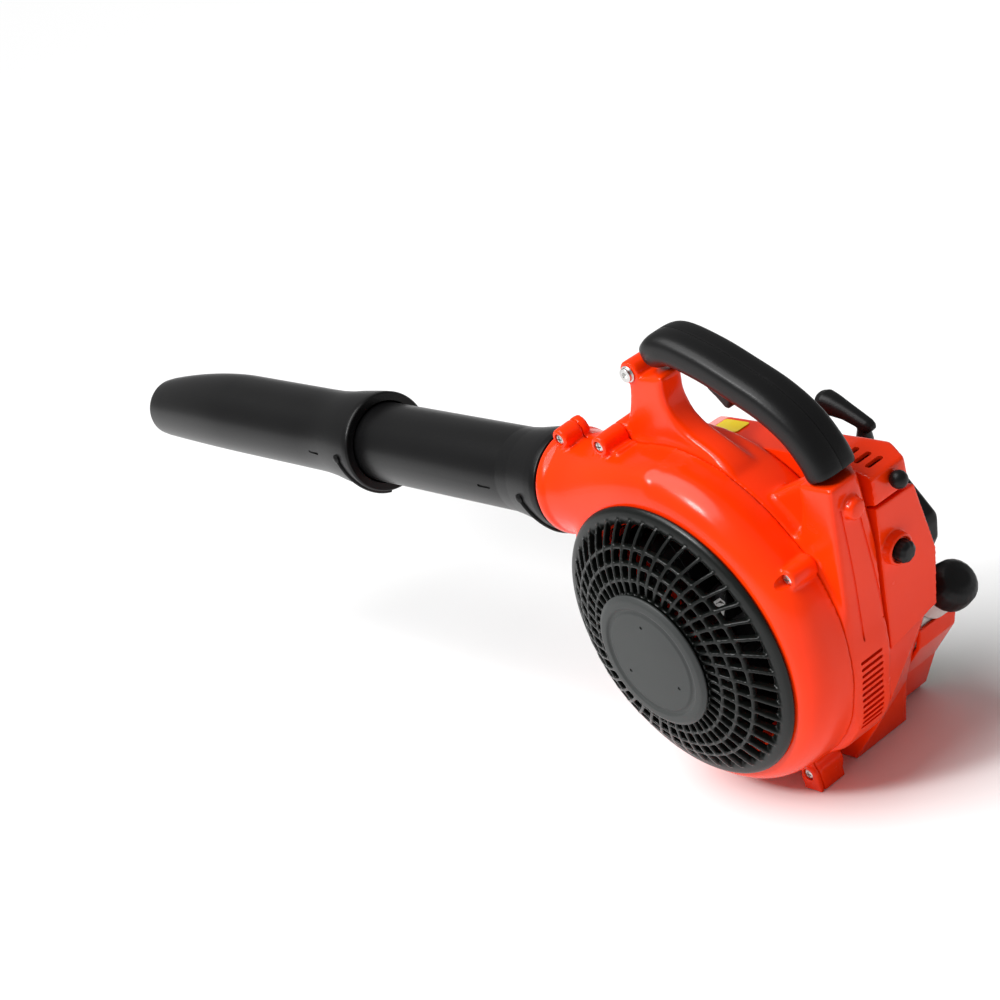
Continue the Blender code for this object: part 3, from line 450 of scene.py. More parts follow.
def loft(name: str, rings: Sequence[Sequence], closed: bool = False) -> Obj:
    """A closed solid through rings of equally many points.

    Args:
        name: The object's name.
        rings: Each ring's points, in order round it.
        closed: True joins the last ring to the first, and False caps both ends.

    Returns:
        The new object.
    """
    count = len(rings[0])
    points = [tuple(p) for ring in rings for p in ring]
    faces = []
    for i in range(len(rings) if closed else len(rings) - 1):
        a, b = i * count, (i + 1) % len(rings) * count
        for j in range(count):
            k = (j + 1) % count
            faces.append((a + j, a + k, b + k, b + j))
    if not closed:
        faces += [tuple(range(count)), tuple(range(len(points) - count, len(points)))]
    mesh = bpy.data.meshes.new(name)
    mesh.from_pydata(points, [], faces)
    return added(name, cleaned(mesh))


def across(axis: Vector) -> tuple[Vector, Vector]:
    """Two unit vectors across a direction."""
    axis = axis.normalized()
    side = Vector((0, 0, 1)) if abs(axis.z) < 0.9 else Vector((1, 0, 0))
    u = (side - axis * side.dot(axis)).normalized()
    return u, axis.cross(u)


def turned(name: str, profile: Sequence[Pair], centre: Sequence[float], axis: Sequence[float] = (0, 1, 0),
           sides: int = 96, wobble: Callable[[float], float] | None = None) -> Obj:
    """A closed profile of (radius, height) turned about an axis.

    Args:
        name: The object's name.
        profile: Points of the profile.
        centre: A point on the axis, from which heights count.
        axis: The axis's direction.
        sides: Steps round the axis.
        wobble: Factor on the outer radii at an angle in radians, for flutes.

    Returns:
        The new object.
    """
    axis = Vector(axis).normalized()
    u, v = across(axis)
    rings = []
    for i in range(sides):
        t = 2 * math.pi * i / sides
        out = (u * math.cos(t) + v * math.sin(t)) * (wobble(t) if wobble else 1.0)
        rings.append([Vector(centre) + out * r + axis * h for r, h in profile])
    return loft(name, rings, closed=True)


def rod(name: str, radius: float, low: float, high: float, centre: Sequence[float],
        axis: Sequence[float] = (0, 1, 0), sides: int = 96) -> Obj:
    """A plain cylinder between two heights along its axis."""
    return turned(name, [(0, low), (radius, low), (radius, high), (0, high)], centre, axis, sides)


def rounded_profile(profile: Sequence[Pair], radius: float, steps: int = 4) -> list[Pair]:
    """The profile with each corner off the axis replaced by a small curve.

    Args:
        profile: Corner points, round the solid's section.
        radius: How far back from a corner its curve starts.
        steps: Points on each curve, less one.

    Returns:
        The points of the rounded profile.
    """
    found = []
    for i, corner in enumerate(profile):
        corner = Vector(corner)
        if corner.x < MERGE:
            found.append(tuple(corner))
            continue
        ends = []
        for other in (profile[i - 1], profile[(i + 1) % len(profile)]):
            edge = Vector(other) - corner
            ends.append(corner + edge * min(0.45, radius / max(edge.length, 1e-9)))
        for k in range(steps + 1):
            t = k / steps
            found.append(tuple(ends[0] * (1 - t) ** 2 + corner * 2 * t * (1 - t) + ends[1] * t * t))
    return found


def prism(name: str, outline: Sequence[Pair], low: float, high: float, plane: Plane = Plane.XZ) -> Obj:
    """An outline in a plane, extruded from low to high."""
    a, b, h = plane.value
    rings = []
    for level in (low, high):
        ring = []
        for pair in outline:
            point = [0.0, 0.0, 0.0]
            point[a], point[b], point[h] = pair[0], pair[1], level
            ring.append(point)
        rings.append(ring)
    return loft(name, rings)


def block(name: str, low: Sequence[float], high: Sequence[float]) -> Obj:
    """A box between two corners."""
    outline = [(low[0], low[2]), (high[0], low[2]), (high[0], high[2]), (low[0], high[2])]
    return prism(name, outline, low[1], high[1])


def beyond(axis: int, level: float, side: int) -> Obj:
    """A block for cutting away everything past a level.

    Args:
        axis: X, Y or Z.
        level: Where the block starts along that axis.
        side: 1 for everything above the level, -1 for everything below it.

    Returns:
        The block.
    """
    low, high = [-FAR] * 3, [FAR] * 3
    (low if side > 0 else high)[axis] = level
    return block("beyond", low, high)


def stadium(centre: Pair, length: float, width: float, lean: float = 0.0) -> list[Pair]:
    """A slot's outline with round ends.

    Args:
        centre: Its middle.
        length: From end to end.
        width: Across it.
        lean: The angle of its length, in radians.

    Returns:
        The outline's points.
    """
    found = []
    steps = 6
    reach = (length - width) / 2
    for end in (0, 1):
        for k in range(steps + 1):
            t = math.pi * (end - 0.5 + k / steps)
            x = reach * (1 if end == 0 else -1) + width / 2 * math.cos(t)
            y = width / 2 * math.sin(t)
            found.append((centre[0] + x * math.cos(lean) - y * math.sin(lean),
                          centre[1] + x * math.sin(lean) + y * math.cos(lean)))
    return found


def spline(points: Sequence[Sequence[float]], steps: int) -> list[Vector]:
    """Points on a Catmull-Rom curve through the given ones."""
    points = [Vector(p) for p in points]
    padded = [points[0] * 2 - points[1], *points, points[-1] * 2 - points[-2]]
    found = []
    for i in range(1, len(padded) - 2):
        a, b, c, d = padded[i - 1:i + 3]
        for k in range(steps):
            t = k / steps
            found.append((b * 2 + (c - a) * t + (a * 2 - b * 5 + c * 4 - d) * t * t
                          + (b * 3 - a - c * 3 + d) * t ** 3) / 2)
    return [*found, points[-1]]


def swept(name: str, path: Sequence[Sequence[float]], size: float | Sequence[float], sides: int = 20,
          power: float = 2.0, widen: float = 1.0, under: float | None = None) -> Obj:
    """A bar along a path, with a superellipse section.

    Args:
        name: The object's name.
        path: Points along it.
        size: Half the section's height, the same all along or one for each point.
        sides: Points round the section.
        power: 2 gives an ellipse, and more gives squarer shoulders.
        widen: Scales the section across Y.
        under: The power for the lower half of the section, where it differs.

    Returns:
        The new object.
    """
    path = [Vector(p) for p in path]
    rings = []
    normal = None
    for i, point in enumerate(path):
        ahead = (path[min(i + 1, len(path) - 1)] - path[max(i - 1, 0)]).normalized()
        if normal is None:
            normal = across(ahead)[0]
        normal = (normal - ahead * normal.dot(ahead)).normalized()
        other = ahead.cross(normal)
        half = size if isinstance(size, (int, float)) else size[i]
        ring = []
        for j in range(sides):
            t = 2 * math.pi * j / sides
            bend = 2 / (under if under and math.cos(t) < 0 else power)
            out = (normal * squared(math.cos(t), bend) + other * squared(math.sin(t), bend)) * half
            ring.append(point + Vector((out.x, out.y * widen, out.z)))
        rings.append(ring)
    return loft(name, rings)


def applied(obj: Obj) -> Obj:
    """The object with its modifiers turned into its mesh."""
    graph = bpy.context.evaluated_depsgraph_get()
    mesh = bpy.data.meshes.new_from_object(obj.evaluated_get(graph))
    obj.modifiers.clear()
    obj.data = mesh
    return obj


def combine(target: Obj, how: Solid, *others: Obj) -> Obj:
    """Joins the other solids to target, or cuts them out of it, one after the other."""
    for other in others:
        modifier = target.modifiers.new(how.name, "BOOLEAN")
        modifier.operation = how.value
        modifier.solver = "MANIFOLD"
        modifier.object = other
        applied(target)
        bpy.data.objects.remove(other)
    return target


def rounded(obj: Obj, voxel: float, passes: int) -> Obj:
    """Remakes a solid on a fine grid and relaxes it, which rounds its edges and inner corners.

    Args:
        obj: The solid.
        voxel: The grid's pitch.
        passes: How many times it is relaxed.

    Returns:
        The same object.
    """
    grid = obj.modifiers.new("grid", "REMESH")
    grid.mode = "VOXEL"
    grid.voxel_size = voxel
    relax = obj.modifiers.new("relax", "SMOOTH")
    relax.factor = 0.5
    relax.iterations = passes
    return applied(obj)


def bevelled(obj: Obj, width: float, segments: int, angle: float) -> Obj:
    """Rounds the edges of a solid that are sharper than an angle in degrees."""
    modifier = obj.modifiers.new("edges", "BEVEL")
    modifier.width = width
    modifier.segments = segments
    modifier.limit_method = "ANGLE"
    modifier.angle_limit = math.radians(angle)
    return applied(obj)


def merged(objects: Sequence[Obj]) -> Obj:
    """Several solids as one object, for a grid to join next."""
    work = bmesh.new()
    for obj in objects:
        work.from_mesh(obj.data)
    work.to_mesh(objects[0].data)
    work.free()
    for obj in objects[1:]:
        bpy.data.objects.remove(obj)
    return objects[0]


def copy_of(node: str, name: str) -> Obj:
    """A new object with the mesh of a CAD node, its doubled points merged."""
    mesh = cleaned(frame["nodes"][node].data.copy())
    mesh.materials.clear()
    return added(name, mesh)


def place(obj: Obj, body: Body | None, slot: str, *nodes: str, finish: object = None,
          crease: float = 38.0) -> Obj:
    """Dresses a piece, hangs it on its body if it has one, and hides the CAD nodes it stands for.

    Args:
        obj: The piece.
        body: What it rides on, or None for a piece that is left without a body.
        slot: The record's material slot it takes its finish from.
        nodes: The CAD nodes it stands for.
        finish: A finish other than the slot's own.
        crease: Edges sharper than this, in degrees, are shaded as creases.

    Returns:
        The same object.
    """
    obj.data.materials.clear()
    obj.data.materials.append(Paint.of(finish or SLOT_FINISH[slot]))
    obj.data.shade_smooth()
    obj.data.set_sharp_from_angle(angle=math.radians(crease))
    if body:
        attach(obj, body.value)
    if nodes:
        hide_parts(*nodes)
    LOG.info("%s: %d faces", obj.name, len(obj.data.polygons))
    return obj


# ---------------------------------------------------------------- sub-assemblies


@dataclass
class Layout:
    """Places that several sub-assemblies share."""

    crank_z: float = 0.132
    split_y: float = 0.063
    tube_y: float = 0.063
    tube_z: float = 0.220
    outlet_x: float = 0.113
    handle_y: float = 0.045
    rear_low: Pair = (-0.115, 0.097)
    rear_slope: float = -0.2155
    gap: float = 0.0003

    def rear_x(self, z: float) -> float:
        """Where the leaning rear wall stands at that height."""
        return self.rear_low[0] + self.rear_slope * (z - self.rear_low[1])

    def rear_normal(self) -> Vector:
        """The rear wall's outward direction."""
        return Vector((-1, 0, self.rear_slope)).normalized()

    def axis(self) -> Vector:
        """The crank axis at y = 0."""
        return Vector((0, 0, self.crank_z))

    def tube(self) -> Vector:
        """The tube axis at x = 0."""
        return Vector((0, self.tube_y, self.tube_z))


@dataclass
class FanCase:
    """The volute in two halves, with the handle posts, outlet, screw bosses and louvres.

    The scroll grows from start_r by growth over sweep degrees from the cutwater. The outlet's
    inner end is a rounded rectangle with its centre at mouth_z and half sides of mouth_half.
    """

    layout: Layout
    back_y: float = 0.025
    front_y: float = 0.100
    wall: float = 0.003
    start_r: float = 0.108
    growth: float = 0.021
    cutwater: float = 20.0
    sweep: float = 290.0
    rim_r: float = 0.104
    edge_depth: float = 0.022
    intake_r: float = 0.088
    shaft_r: float = 0.020
    outlet_r: float = 0.037
    socket_r: float = 0.0314
    mouth_half: Pair = (0.0366, 0.0418)
    mouth_z: float = 0.2188
    post_y: Pair = (0.0400, 0.0615)
    bolt_at: Triple = (0.0165, 0, 0.3125)
    louvre_count: int = 12
    louvre_arc: Pair = (190, 219)
    louvre_r: float = 0.118
    screws: dict[str, Triple] = field(default_factory=lambda: {
        "top": (0.043, 0.085, 0.266), "outlet": (0.094, 0.079, 0.262),
        "rear": (-0.109, 0.085, 0.190), "foot": (-0.046, 0.0675, 0.0135)})

    def radius_at(self, angle: float) -> float:
        """The volute's outer radius at an angle in degrees from +X towards +Z."""
        turned_by = (self.cutwater - angle) % 360.0
        share = turned_by / self.sweep
        if share > 1:
            back = (turned_by - self.sweep) / (360.0 - self.sweep)
            share = 1 - eased(back)
        return self.start_r + self.growth * share

    def scroll(self, inset: float) -> Obj:
        """The volute as a solid, shrunk by inset."""
        steps, arc = 120, 9
        rings = []
        front = self.front_y - inset
        rim = self.rim_r - inset
        for i in range(steps):
            angle = 360.0 * i / steps
            r = self.radius_at(angle) - inset
            profile = [(0, self.back_y + inset), (r, self.back_y + inset)]
            for k in range(arc + 1):
                t = math.pi / 2 * k / arc
                profile.append((rim + (r - rim) * math.cos(t), front - self.edge_depth * (1 - math.sin(t))))
            profile.append((0, front))
            c, s = math.cos(math.radians(angle)), math.sin(math.radians(angle))
            rings.append([(q * c, y, self.layout.crank_z + q * s) for q, y in profile])
        return loft("scroll", rings, closed=True)

    def duct(self, inset: float, low: float, high: float) -> Obj:
        """The outlet from x = low to high, which turns from a rounded rectangle into a circle."""
        sides, steps = 64, 16
        rings = []
        for i in range(steps + 1):
            x = low + (high - low) * i / steps
            t = eased(min(1.0, max(0.0, x / (self.layout.outlet_x - 0.020))))
            half_y, half_z = (half + (self.outlet_r - half) * t - inset for half in self.mouth_half)
            z = self.mouth_z + (self.layout.tube_z - self.mouth_z) * t
            power = 2 / (4.5 - 2.5 * t)
            ring = []
            for k in range(sides):
                a = 2 * math.pi * (k + 0.5) / sides
                ring.append((x, self.layout.tube_y + squared(math.cos(a), power) * half_y,
                             z + squared(math.sin(a), power) * half_z))
            rings.append(ring)
        return loft("duct", rings)

    def front_post(self) -> Obj:
        """The post that holds the handle's front end: nearly upright in front, a wide arc behind."""
        front = spline([(0.060, 0.236), (0.049, 0.258), (0.034, 0.277), (0.0235, 0.297), (0.0195, 0.3100)],
                       6)
        back = spline([(-0.0150, 0.3120), (-0.0115, 0.300), (-0.0112, 0.290), (-0.015, 0.2795),
                       (-0.024, 0.2705),
                       (-0.036, 0.2635), (-0.048, 0.2560), (-0.059, 0.2450), (-0.061, 0.230)], 6)
        return prism("front_post", [*front, *back], *self.post_y)

    def rear_post(self) -> Obj:
        """The leaning band under the handle's rear end, with its right edge cut away."""
        rear_x = self.layout.rear_x
        low = spline([(-0.060, 0.030), (-0.084, 0.040), (-0.104, 0.062), (rear_x(0.095), 0.095)], 5)
        front = spline([(-0.117, 0.2475), (-0.112, 0.225), (-0.100, 0.205), (-0.080, 0.190)], 5)
        outline = [*low, (rear_x(0.170), 0.170), (rear_x(0.2475), 0.2475), *front, (-0.080, 0.070)]
        post = prism("rear_post", outline, 0.0262, self.post_y[1])
        edge = [(-0.1713, 0.055), (-0.1247, 0.020), (-0.180, 0.020), (-0.180, 0.055)]
        return combine(post, Solid.CUT, prism("edge", edge, 0.0, FAR, Plane.XY))

    def gusset(self) -> Obj:
        """The web that fills the corner between the volute and the rear post."""
        return prism("gusset", [(-0.0760, 0.2150), (-0.0800, 0.2315), (-0.1100, 0.2455), (-0.1220, 0.2455),
                                (-0.1180, 0.2000), (-0.0950, 0.2050)], 0.0400, 0.0530)

    def blended_body(self) -> Obj:
        """The outside of the whole case as one solid with moulded fillets."""
        body = self.scroll(0.0)
        combine(body, Solid.JOIN, self.duct(0.0, -0.012, self.layout.outlet_x), self.front_post(),
                self.rear_post(),
                self.gusset())
        rounded(body, voxel=0.0019, passes=14)
        lip = rounded_profile([(0.0300, 0.1020), (0.0368, 0.1020), (0.0384, 0.1055), (0.0384, 0.1120),
                               (0.0300, 0.1120)], 0.0018)
        return combine(body, Solid.JOIN, turned("lip", lip, self.layout.tube(), AHEAD))

    def bosses(self) -> list[Obj]:
        """Screw bosses that widen towards the rear half, their webs, feet, lugs and pads."""
        made = []
        for name, (x, y, z) in self.screws.items():
            low = 0.0570 if name == "outlet" else 0.0400
            made.append(turned("boss", [(0, low), (0.0086, low), (0.0074, y - 0.0008), (0.0066, y), (0, y)],
                               (x, 0, z), sides=48))
        for name, low, high in (
                ("web_top", (0.030, 0.042, 0.245), (0.056, 0.081, 0.262)),
                ("web_outlet", (0.0893, 0.0585, 0.2546), (0.0987, 0.0765, 0.2602)),
                ("web_rear", (-0.104, 0.042, 0.178), (-0.090, 0.081, 0.196)),
                ("web_foot", (-0.0515, 0.0425, 0.008), (-0.0385, 0.0655, 0.034)),
                ("foot_front", (0.034, 0.042, 0.0), (0.056, 0.0675, 0.034)),
                ("foot_rear", (-0.0535, 0.042, 0.0), (-0.0375, 0.0668, 0.012))):
            made.append(block(name, low, high))
        ear = [(0, 0.0440), (0.0085, 0.0440), (0.0085, 0.0608), (0.0078, 0.0615), (0, 0.0615)]
        made.append(turned("ear", ear, self.bolt_at, sides=48))
        nub = Vector((self.layout.rear_x(0.228), 0.0465, 0.228))
        made.append(turned("nub", [(0, -0.008), (0.0084, -0.008), (0.0074, 0.0056), (0.0056, 0.0076),
                                   (0, 0.0080)],
                           nub, self.layout.rear_normal(), sides=48))
        return made

    def screw_cuts(self) -> list[Obj]:
        """The recess that each screw head sits in."""
        return [turned("seat", [(0, y - 0.0035), (0.0045, y - 0.0035), (0.0047, y + 0.05), (0, y + 0.05)],
                       (x, 0, z), sides=40) for x, y, z in self.screws.values()]

    def louvres(self) -> list[Obj]:
        """Slots with round ends in the rear wall, one above the other."""
        made = []
        first, last = self.louvre_arc
        for i in range(self.louvre_count):
            angle = math.radians(first + (last - first) * i / (self.louvre_count - 1))
            x = self.louvre_r * math.cos(angle)
            z = self.layout.crank_z + self.louvre_r * math.sin(angle)
            made.append(prism("slot", stadium((0.045, z), 0.021, 0.0026), x - 0.022, x + 0.010, Plane.YZ))
        return made

    def creases(self) -> list[Obj]:
        """Two shallow lines that run down the rear wall, either side of the louvres' panel."""
        made = []
        for line in (((0.0555, 0.230), (0.0508, 0.178), (0.0484, 0.120)),
                     ((0.0400, 0.222), (0.0315, 0.166), (0.0276, 0.132))):
            path = [(self.layout.rear_x(z) + 0.0002, y, z) for y, z in line]
            made.append(swept("crease", spline(path, 8), 0.0011, sides=12))
        return made

    def build(self) -> None:
        """Makes both halves."""
        lay = self.layout
        whole = self.blended_body()
        hollow = combine(self.scroll(self.wall), Solid.JOIN, self.duct(0.0035, -0.020, 0.080))
        combine(whole, Solid.CUT, hollow, rod("socket", self.socket_r, 0.070, 0.130, lay.tube(), AHEAD),
                rod("intake", self.intake_r, 0.090, 0.120, lay.axis()),
                rod("shaft", self.shaft_r, 0.010, 0.040, lay.axis()))
        combine(whole, Solid.JOIN, *self.bosses())
        rear = added("volute_rear", whole.data.copy())
        combine(whole, Solid.CUT, beyond(Y, lay.split_y + lay.gap / 2, -1))
        combine(rear, Solid.CUT, beyond(Y, lay.split_y - lay.gap / 2, 1))
        whole.name = "volute_front"
        for half, node in ((whole, "fan_case_front"), (rear, "fan_case_rear")):
            rounded(half, voxel=0.0013, passes=3)
            combine(half, Solid.CUT, *self.screw_cuts())
            if half is rear:
                combine(half, Solid.CUT, *self.louvres(), *self.creases(),
                        Handle(lay).solid("seat", lay.gap))
            combine(half, Solid.CUT, beyond(Z, 0.0, -1))
            place(half, Body.BODY, "red_plastic", node)
        self.build_screws()

    def build_screws(self) -> None:
        """Cross-recessed screws in the bosses and one bright hex bolt at the handle."""
        for name, (x, y, z) in self.screws.items():
            head = y - 0.0032
            tip = 0.0585 if name == "outlet" else max(head - 0.028, 0.0445)
            profile = [(0, tip), (0.0019, tip), (0.0019, head), (0.0041, head), (0.0041, head + 0.0018),
                       (0.0026, head + 0.0027), (0, head + 0.0029)]
            screw = turned(f"boss_screw_{name}", rounded_profile(profile, 0.0003), (x, 0, z), sides=40)
            for wide, high in ((0.0024, 0.0005), (0.0005, 0.0024)):
                combine(screw, Solid.CUT, block("cross", (x - wide, head + 0.0008, z - high),
                                                (x + wide, head + 0.02, z + high)))
            place(screw, Body.BODY, "steel", f"case_screw_{name}")
        flanged = [(0, 0.0618), (0.0060, 0.0618), (0.0060, 0.0626), (0.0048, 0.0626), (0.0050, 0.0650),
                   (0, 0.0652)]
        bolt = turned("handle_bolt", rounded_profile(flanged, 0.0003), self.bolt_at)
        combine(bolt, Solid.CUT, rod("hexagon", 0.0025, 0.0634, 0.07, self.bolt_at, sides=6))
        place(bolt, Body.BODY, "steel", "handle_screw")


@dataclass
class Handle:
    """The top handle: two grip shells, the trigger and the stop switch.

    The grip swells from a nose share of its full section over nose_run, and eases again over
    the last tail_run. Its shoulders are squarer than its belly.
    """

    layout: Layout
    half_width: float = 0.0165
    half_height: float = 0.0128
    core_r: float = 0.0098
    shoulders: float = 3.6
    belly: float = 2.3
    nose: float = 0.0078
    nose_share: float = 0.42
    nose_run: float = 0.026
    tail_run: float = 0.004
    line: list[Pair] = field(default_factory=lambda: [
        (-0.001, 0.3235), (-0.020, 0.3288), (-0.048, 0.3210), (-0.075, 0.3088),
        (-0.100, 0.2958), (-0.118, 0.2810), (-0.129, 0.2640), (-0.1335, 0.2505)])

    def solid(self, name: str, grow: float) -> Obj:
        """The grip's outside: squared shoulders, a blunt nose and a slightly eased rear end."""
        path = spline([(x, self.layout.handle_y, z) for x, z in self.line], 9)
        ahead = (path[0] - path[1]).normalized()
        tips = [path[0] + ahead * (self.nose * (1 - k / 6) ** 1.5) for k in range(6)]
        path = [*tips, *path]
        travelled = [0.0]
        for a, b in zip(path, path[1:]):
            travelled.append(travelled[-1] + (b - a).length)
        sizes = []
        for run in travelled:
            start = 1 - min(run / self.nose_run, 1.0)
            end = 1 - min((travelled[-1] - run) / self.tail_run, 1.0)
            swell = self.nose_share + (1 - self.nose_share) * math.sqrt(1 - start ** 2)
            sizes.append(self.half_height * swell * (1 - 0.05 * end ** 2) + grow)
        return swept(name, path, sizes, sides=88, power=self.shoulders, under=self.belly,
                     widen=self.half_width / self.half_height)

    def build(self) -> None:
        """Makes the grip halves, the trigger and the switch."""
        lay = self.layout
        for side, name, node in ((1, "grip_left", "handle_grip_left"),
                                 (-1, "grip_right", "handle_grip_right")):
            shell = self.solid(name, 0.0)
            core = swept("core", spline([(x, lay.handle_y, z) for x, z in self.line], 5)[2:-3],
                         self.core_r, 32)
            slot = prism("slot", [(-0.0790, 0.280), (-0.0408, 0.280), (-0.0408, 0.3130), (-0.0790, 0.3130)],
                         0.0388, 0.0512)
            combine(shell, Solid.CUT, core, slot, beyond(Y, lay.handle_y + side * lay.gap / 2, -side))
            if side < 0:
                combine(shell, Solid.CUT, block("pocket", (-0.0480, 0.020, 0.3170),
                                                (-0.0280, 0.0345, 0.3290)))
            place(bevelled(shell, width=0.0004, segments=2, angle=50), Body.BODY, "black_plastic", node)
        trigger = rounded(copy_of("throttle_trigger", "finger_trigger"), voxel=0.0005, passes=6)
        place(trigger, Body.TRIGGER, "black_plastic", "throttle_trigger")
        switch = rounded(copy_of("stop_switch", "rocker_switch"), voxel=0.0004, passes=5)
        place(switch, Body.SWITCH, "red_plastic", "stop_switch")


@dataclass
class Intake:
    """The domed grille over the fan, its hub plate, and the fan itself.

    The ribs start at rib_start, run rib_run outwards and sweep by swirl radians on the way.
    """

    layout: Layout
    hub_r: float = 0.049
    outer_r: float = 0.104
    crown_y: float = 0.1240
    drop: float = 0.0225
    ribs: int = 46
    swirl: float = 0.16
    rib_start: float = 0.046
    rib_run: float = 0.050
    rib_half: float = 0.00125
    rib_depth: float = 0.0060
    rings: tuple[float, ...] = (0.0590, 0.0697, 0.0802)
    blades: int = 9
    blade_start: float = 0.036
    blade_run: float = 0.047
    blade_lean: float = 0.55
    blade_half: float = 0.0009
    steps: int = 12

    def dome_y(self, r: float) -> float:
        """The grille's front surface at that radius."""
        return self.crown_y - self.drop * ((r - self.hub_r) / (self.outer_r - self.hub_r)) ** 2

    def rib(self, start: float) -> Obj:
        """One thin upright rib that sweeps outwards from the hub ring."""
        rings = []
        deep = Vector((0, -self.rib_depth, 0))
        for k in range(self.steps + 1):
            share = k / self.steps
            r = self.rib_start + self.rib_run * share
            t = start + self.swirl * share ** 1.3
            side = Vector((-math.sin(t), 0, math.cos(t))) * self.rib_half
            top = Vector((r * math.cos(t), self.dome_y(r), self.layout.crank_z + r * math.sin(t)))
            rings.append([top - side, top + side, top + side + deep, top - side + deep])
        return loft("rib", rings)

    def grille(self) -> Obj:
        """The net, its thick rim and the hub ring in one moulding."""
        axis = self.layout.axis()
        rim = rounded_profile([(0.0905, 0.1003), (0.1032, 0.1003), (0.1040, 0.1022), (0.1018, 0.1046),
                               (0.0965, 0.1062), (0.0915, 0.1052)], 0.0018)
        parts = [turned("fan_grille", rim, axis, sides=144)]
        parts.append(turned("hub_ring", [(0.040, 0.1195), (self.hub_r, 0.1195), (self.hub_r, 0.1242),
                                         (0.040, 0.1242)],
                            axis))
        for r in self.rings:
            y = self.dome_y(r)
            parts.append(turned("ring", [(r - 0.0012, y - 0.0048), (r + 0.0012, y - 0.0050),
                                         (r + 0.0012, y - 0.0004),
                                         (r - 0.0012, y)], axis, sides=120))
        parts += [self.rib(2 * math.pi * i / self.ribs) for i in range(self.ribs)]
        return rounded(merged(parts), voxel=0.00070, passes=4)

    def hub(self) -> Obj:
        """The plate in the middle of the grille, with a raised ring round its flat centre."""
        profile = [(0, 0.1258), (0.0495, 0.1258), (0.0502, 0.1276), (0.0468, 0.1297), (0.0418, 0.1302),
                   (0.0402, 0.1289), (0.0385, 0.1289), (0.0370, 0.1298), (0, 0.1301)]
        plate = turned("hub_cap", rounded_profile(profile, 0.0011), self.layout.axis(), sides=128)
        for i in range(3):
            t = math.radians(95 + 120 * i)
            centre = self.layout.axis() + Vector((math.cos(t), 0, math.sin(t))) * 0.0275
            combine(plate, Solid.CUT, turned("dimple",
                                             [(0, 0.1290), (0.0013, 0.1290), (0.0016, 0.14), (0, 0.14)],
                                             centre, sides=24))
        return plate

    def blade(self, start: float) -> Obj:
        """One upright blade, leaning back as it runs outwards."""
        sides = [[], []]
        for k in range(self.steps + 1):
            share = k / self.steps
            r = self.blade_start + self.blade_run * share
            t = start - self.blade_lean * share
            for half, sign in zip(sides, (-1, 1)):
                half.append((r * math.cos(t) - sign * self.blade_half * math.sin(t),
                             self.layout.crank_z + r * math.sin(t) + sign * self.blade_half * math.cos(t)))
        return prism("blade", [*sides[0], *reversed(sides[1])], 0.0325, 0.0900)

    def fan(self) -> Obj:
        """The impeller: a cupped hub, a back plate and swept blades."""
        profile = [(0.0063, 0.0290), (0.018, 0.0290), (0.018, 0.0310), (0.084, 0.0310), (0.084, 0.0335),
                   (0.030, 0.0335), (0.018, 0.0440), (0.0150, 0.0520), (0.0063, 0.0520)]
        wheel = turned("fan_wheel", rounded_profile(profile, 0.0008, steps=2), self.layout.axis())
        starts = [2 * math.pi * i / self.blades for i in range(self.blades)]
        return combine(wheel, Solid.JOIN, *[self.blade(start) for start in starts])

    def build(self) -> None:
        """Makes the grille, hub plate and fan."""
        place(self.grille(), Body.BODY, "grille_plastic", "intake_grille", crease=60)
        place(self.hub(), Body.BODY, "grey_plastic", "grille_hub_plate")
        place(self.fan(), Body.ROTOR, "black_plastic", "impeller")


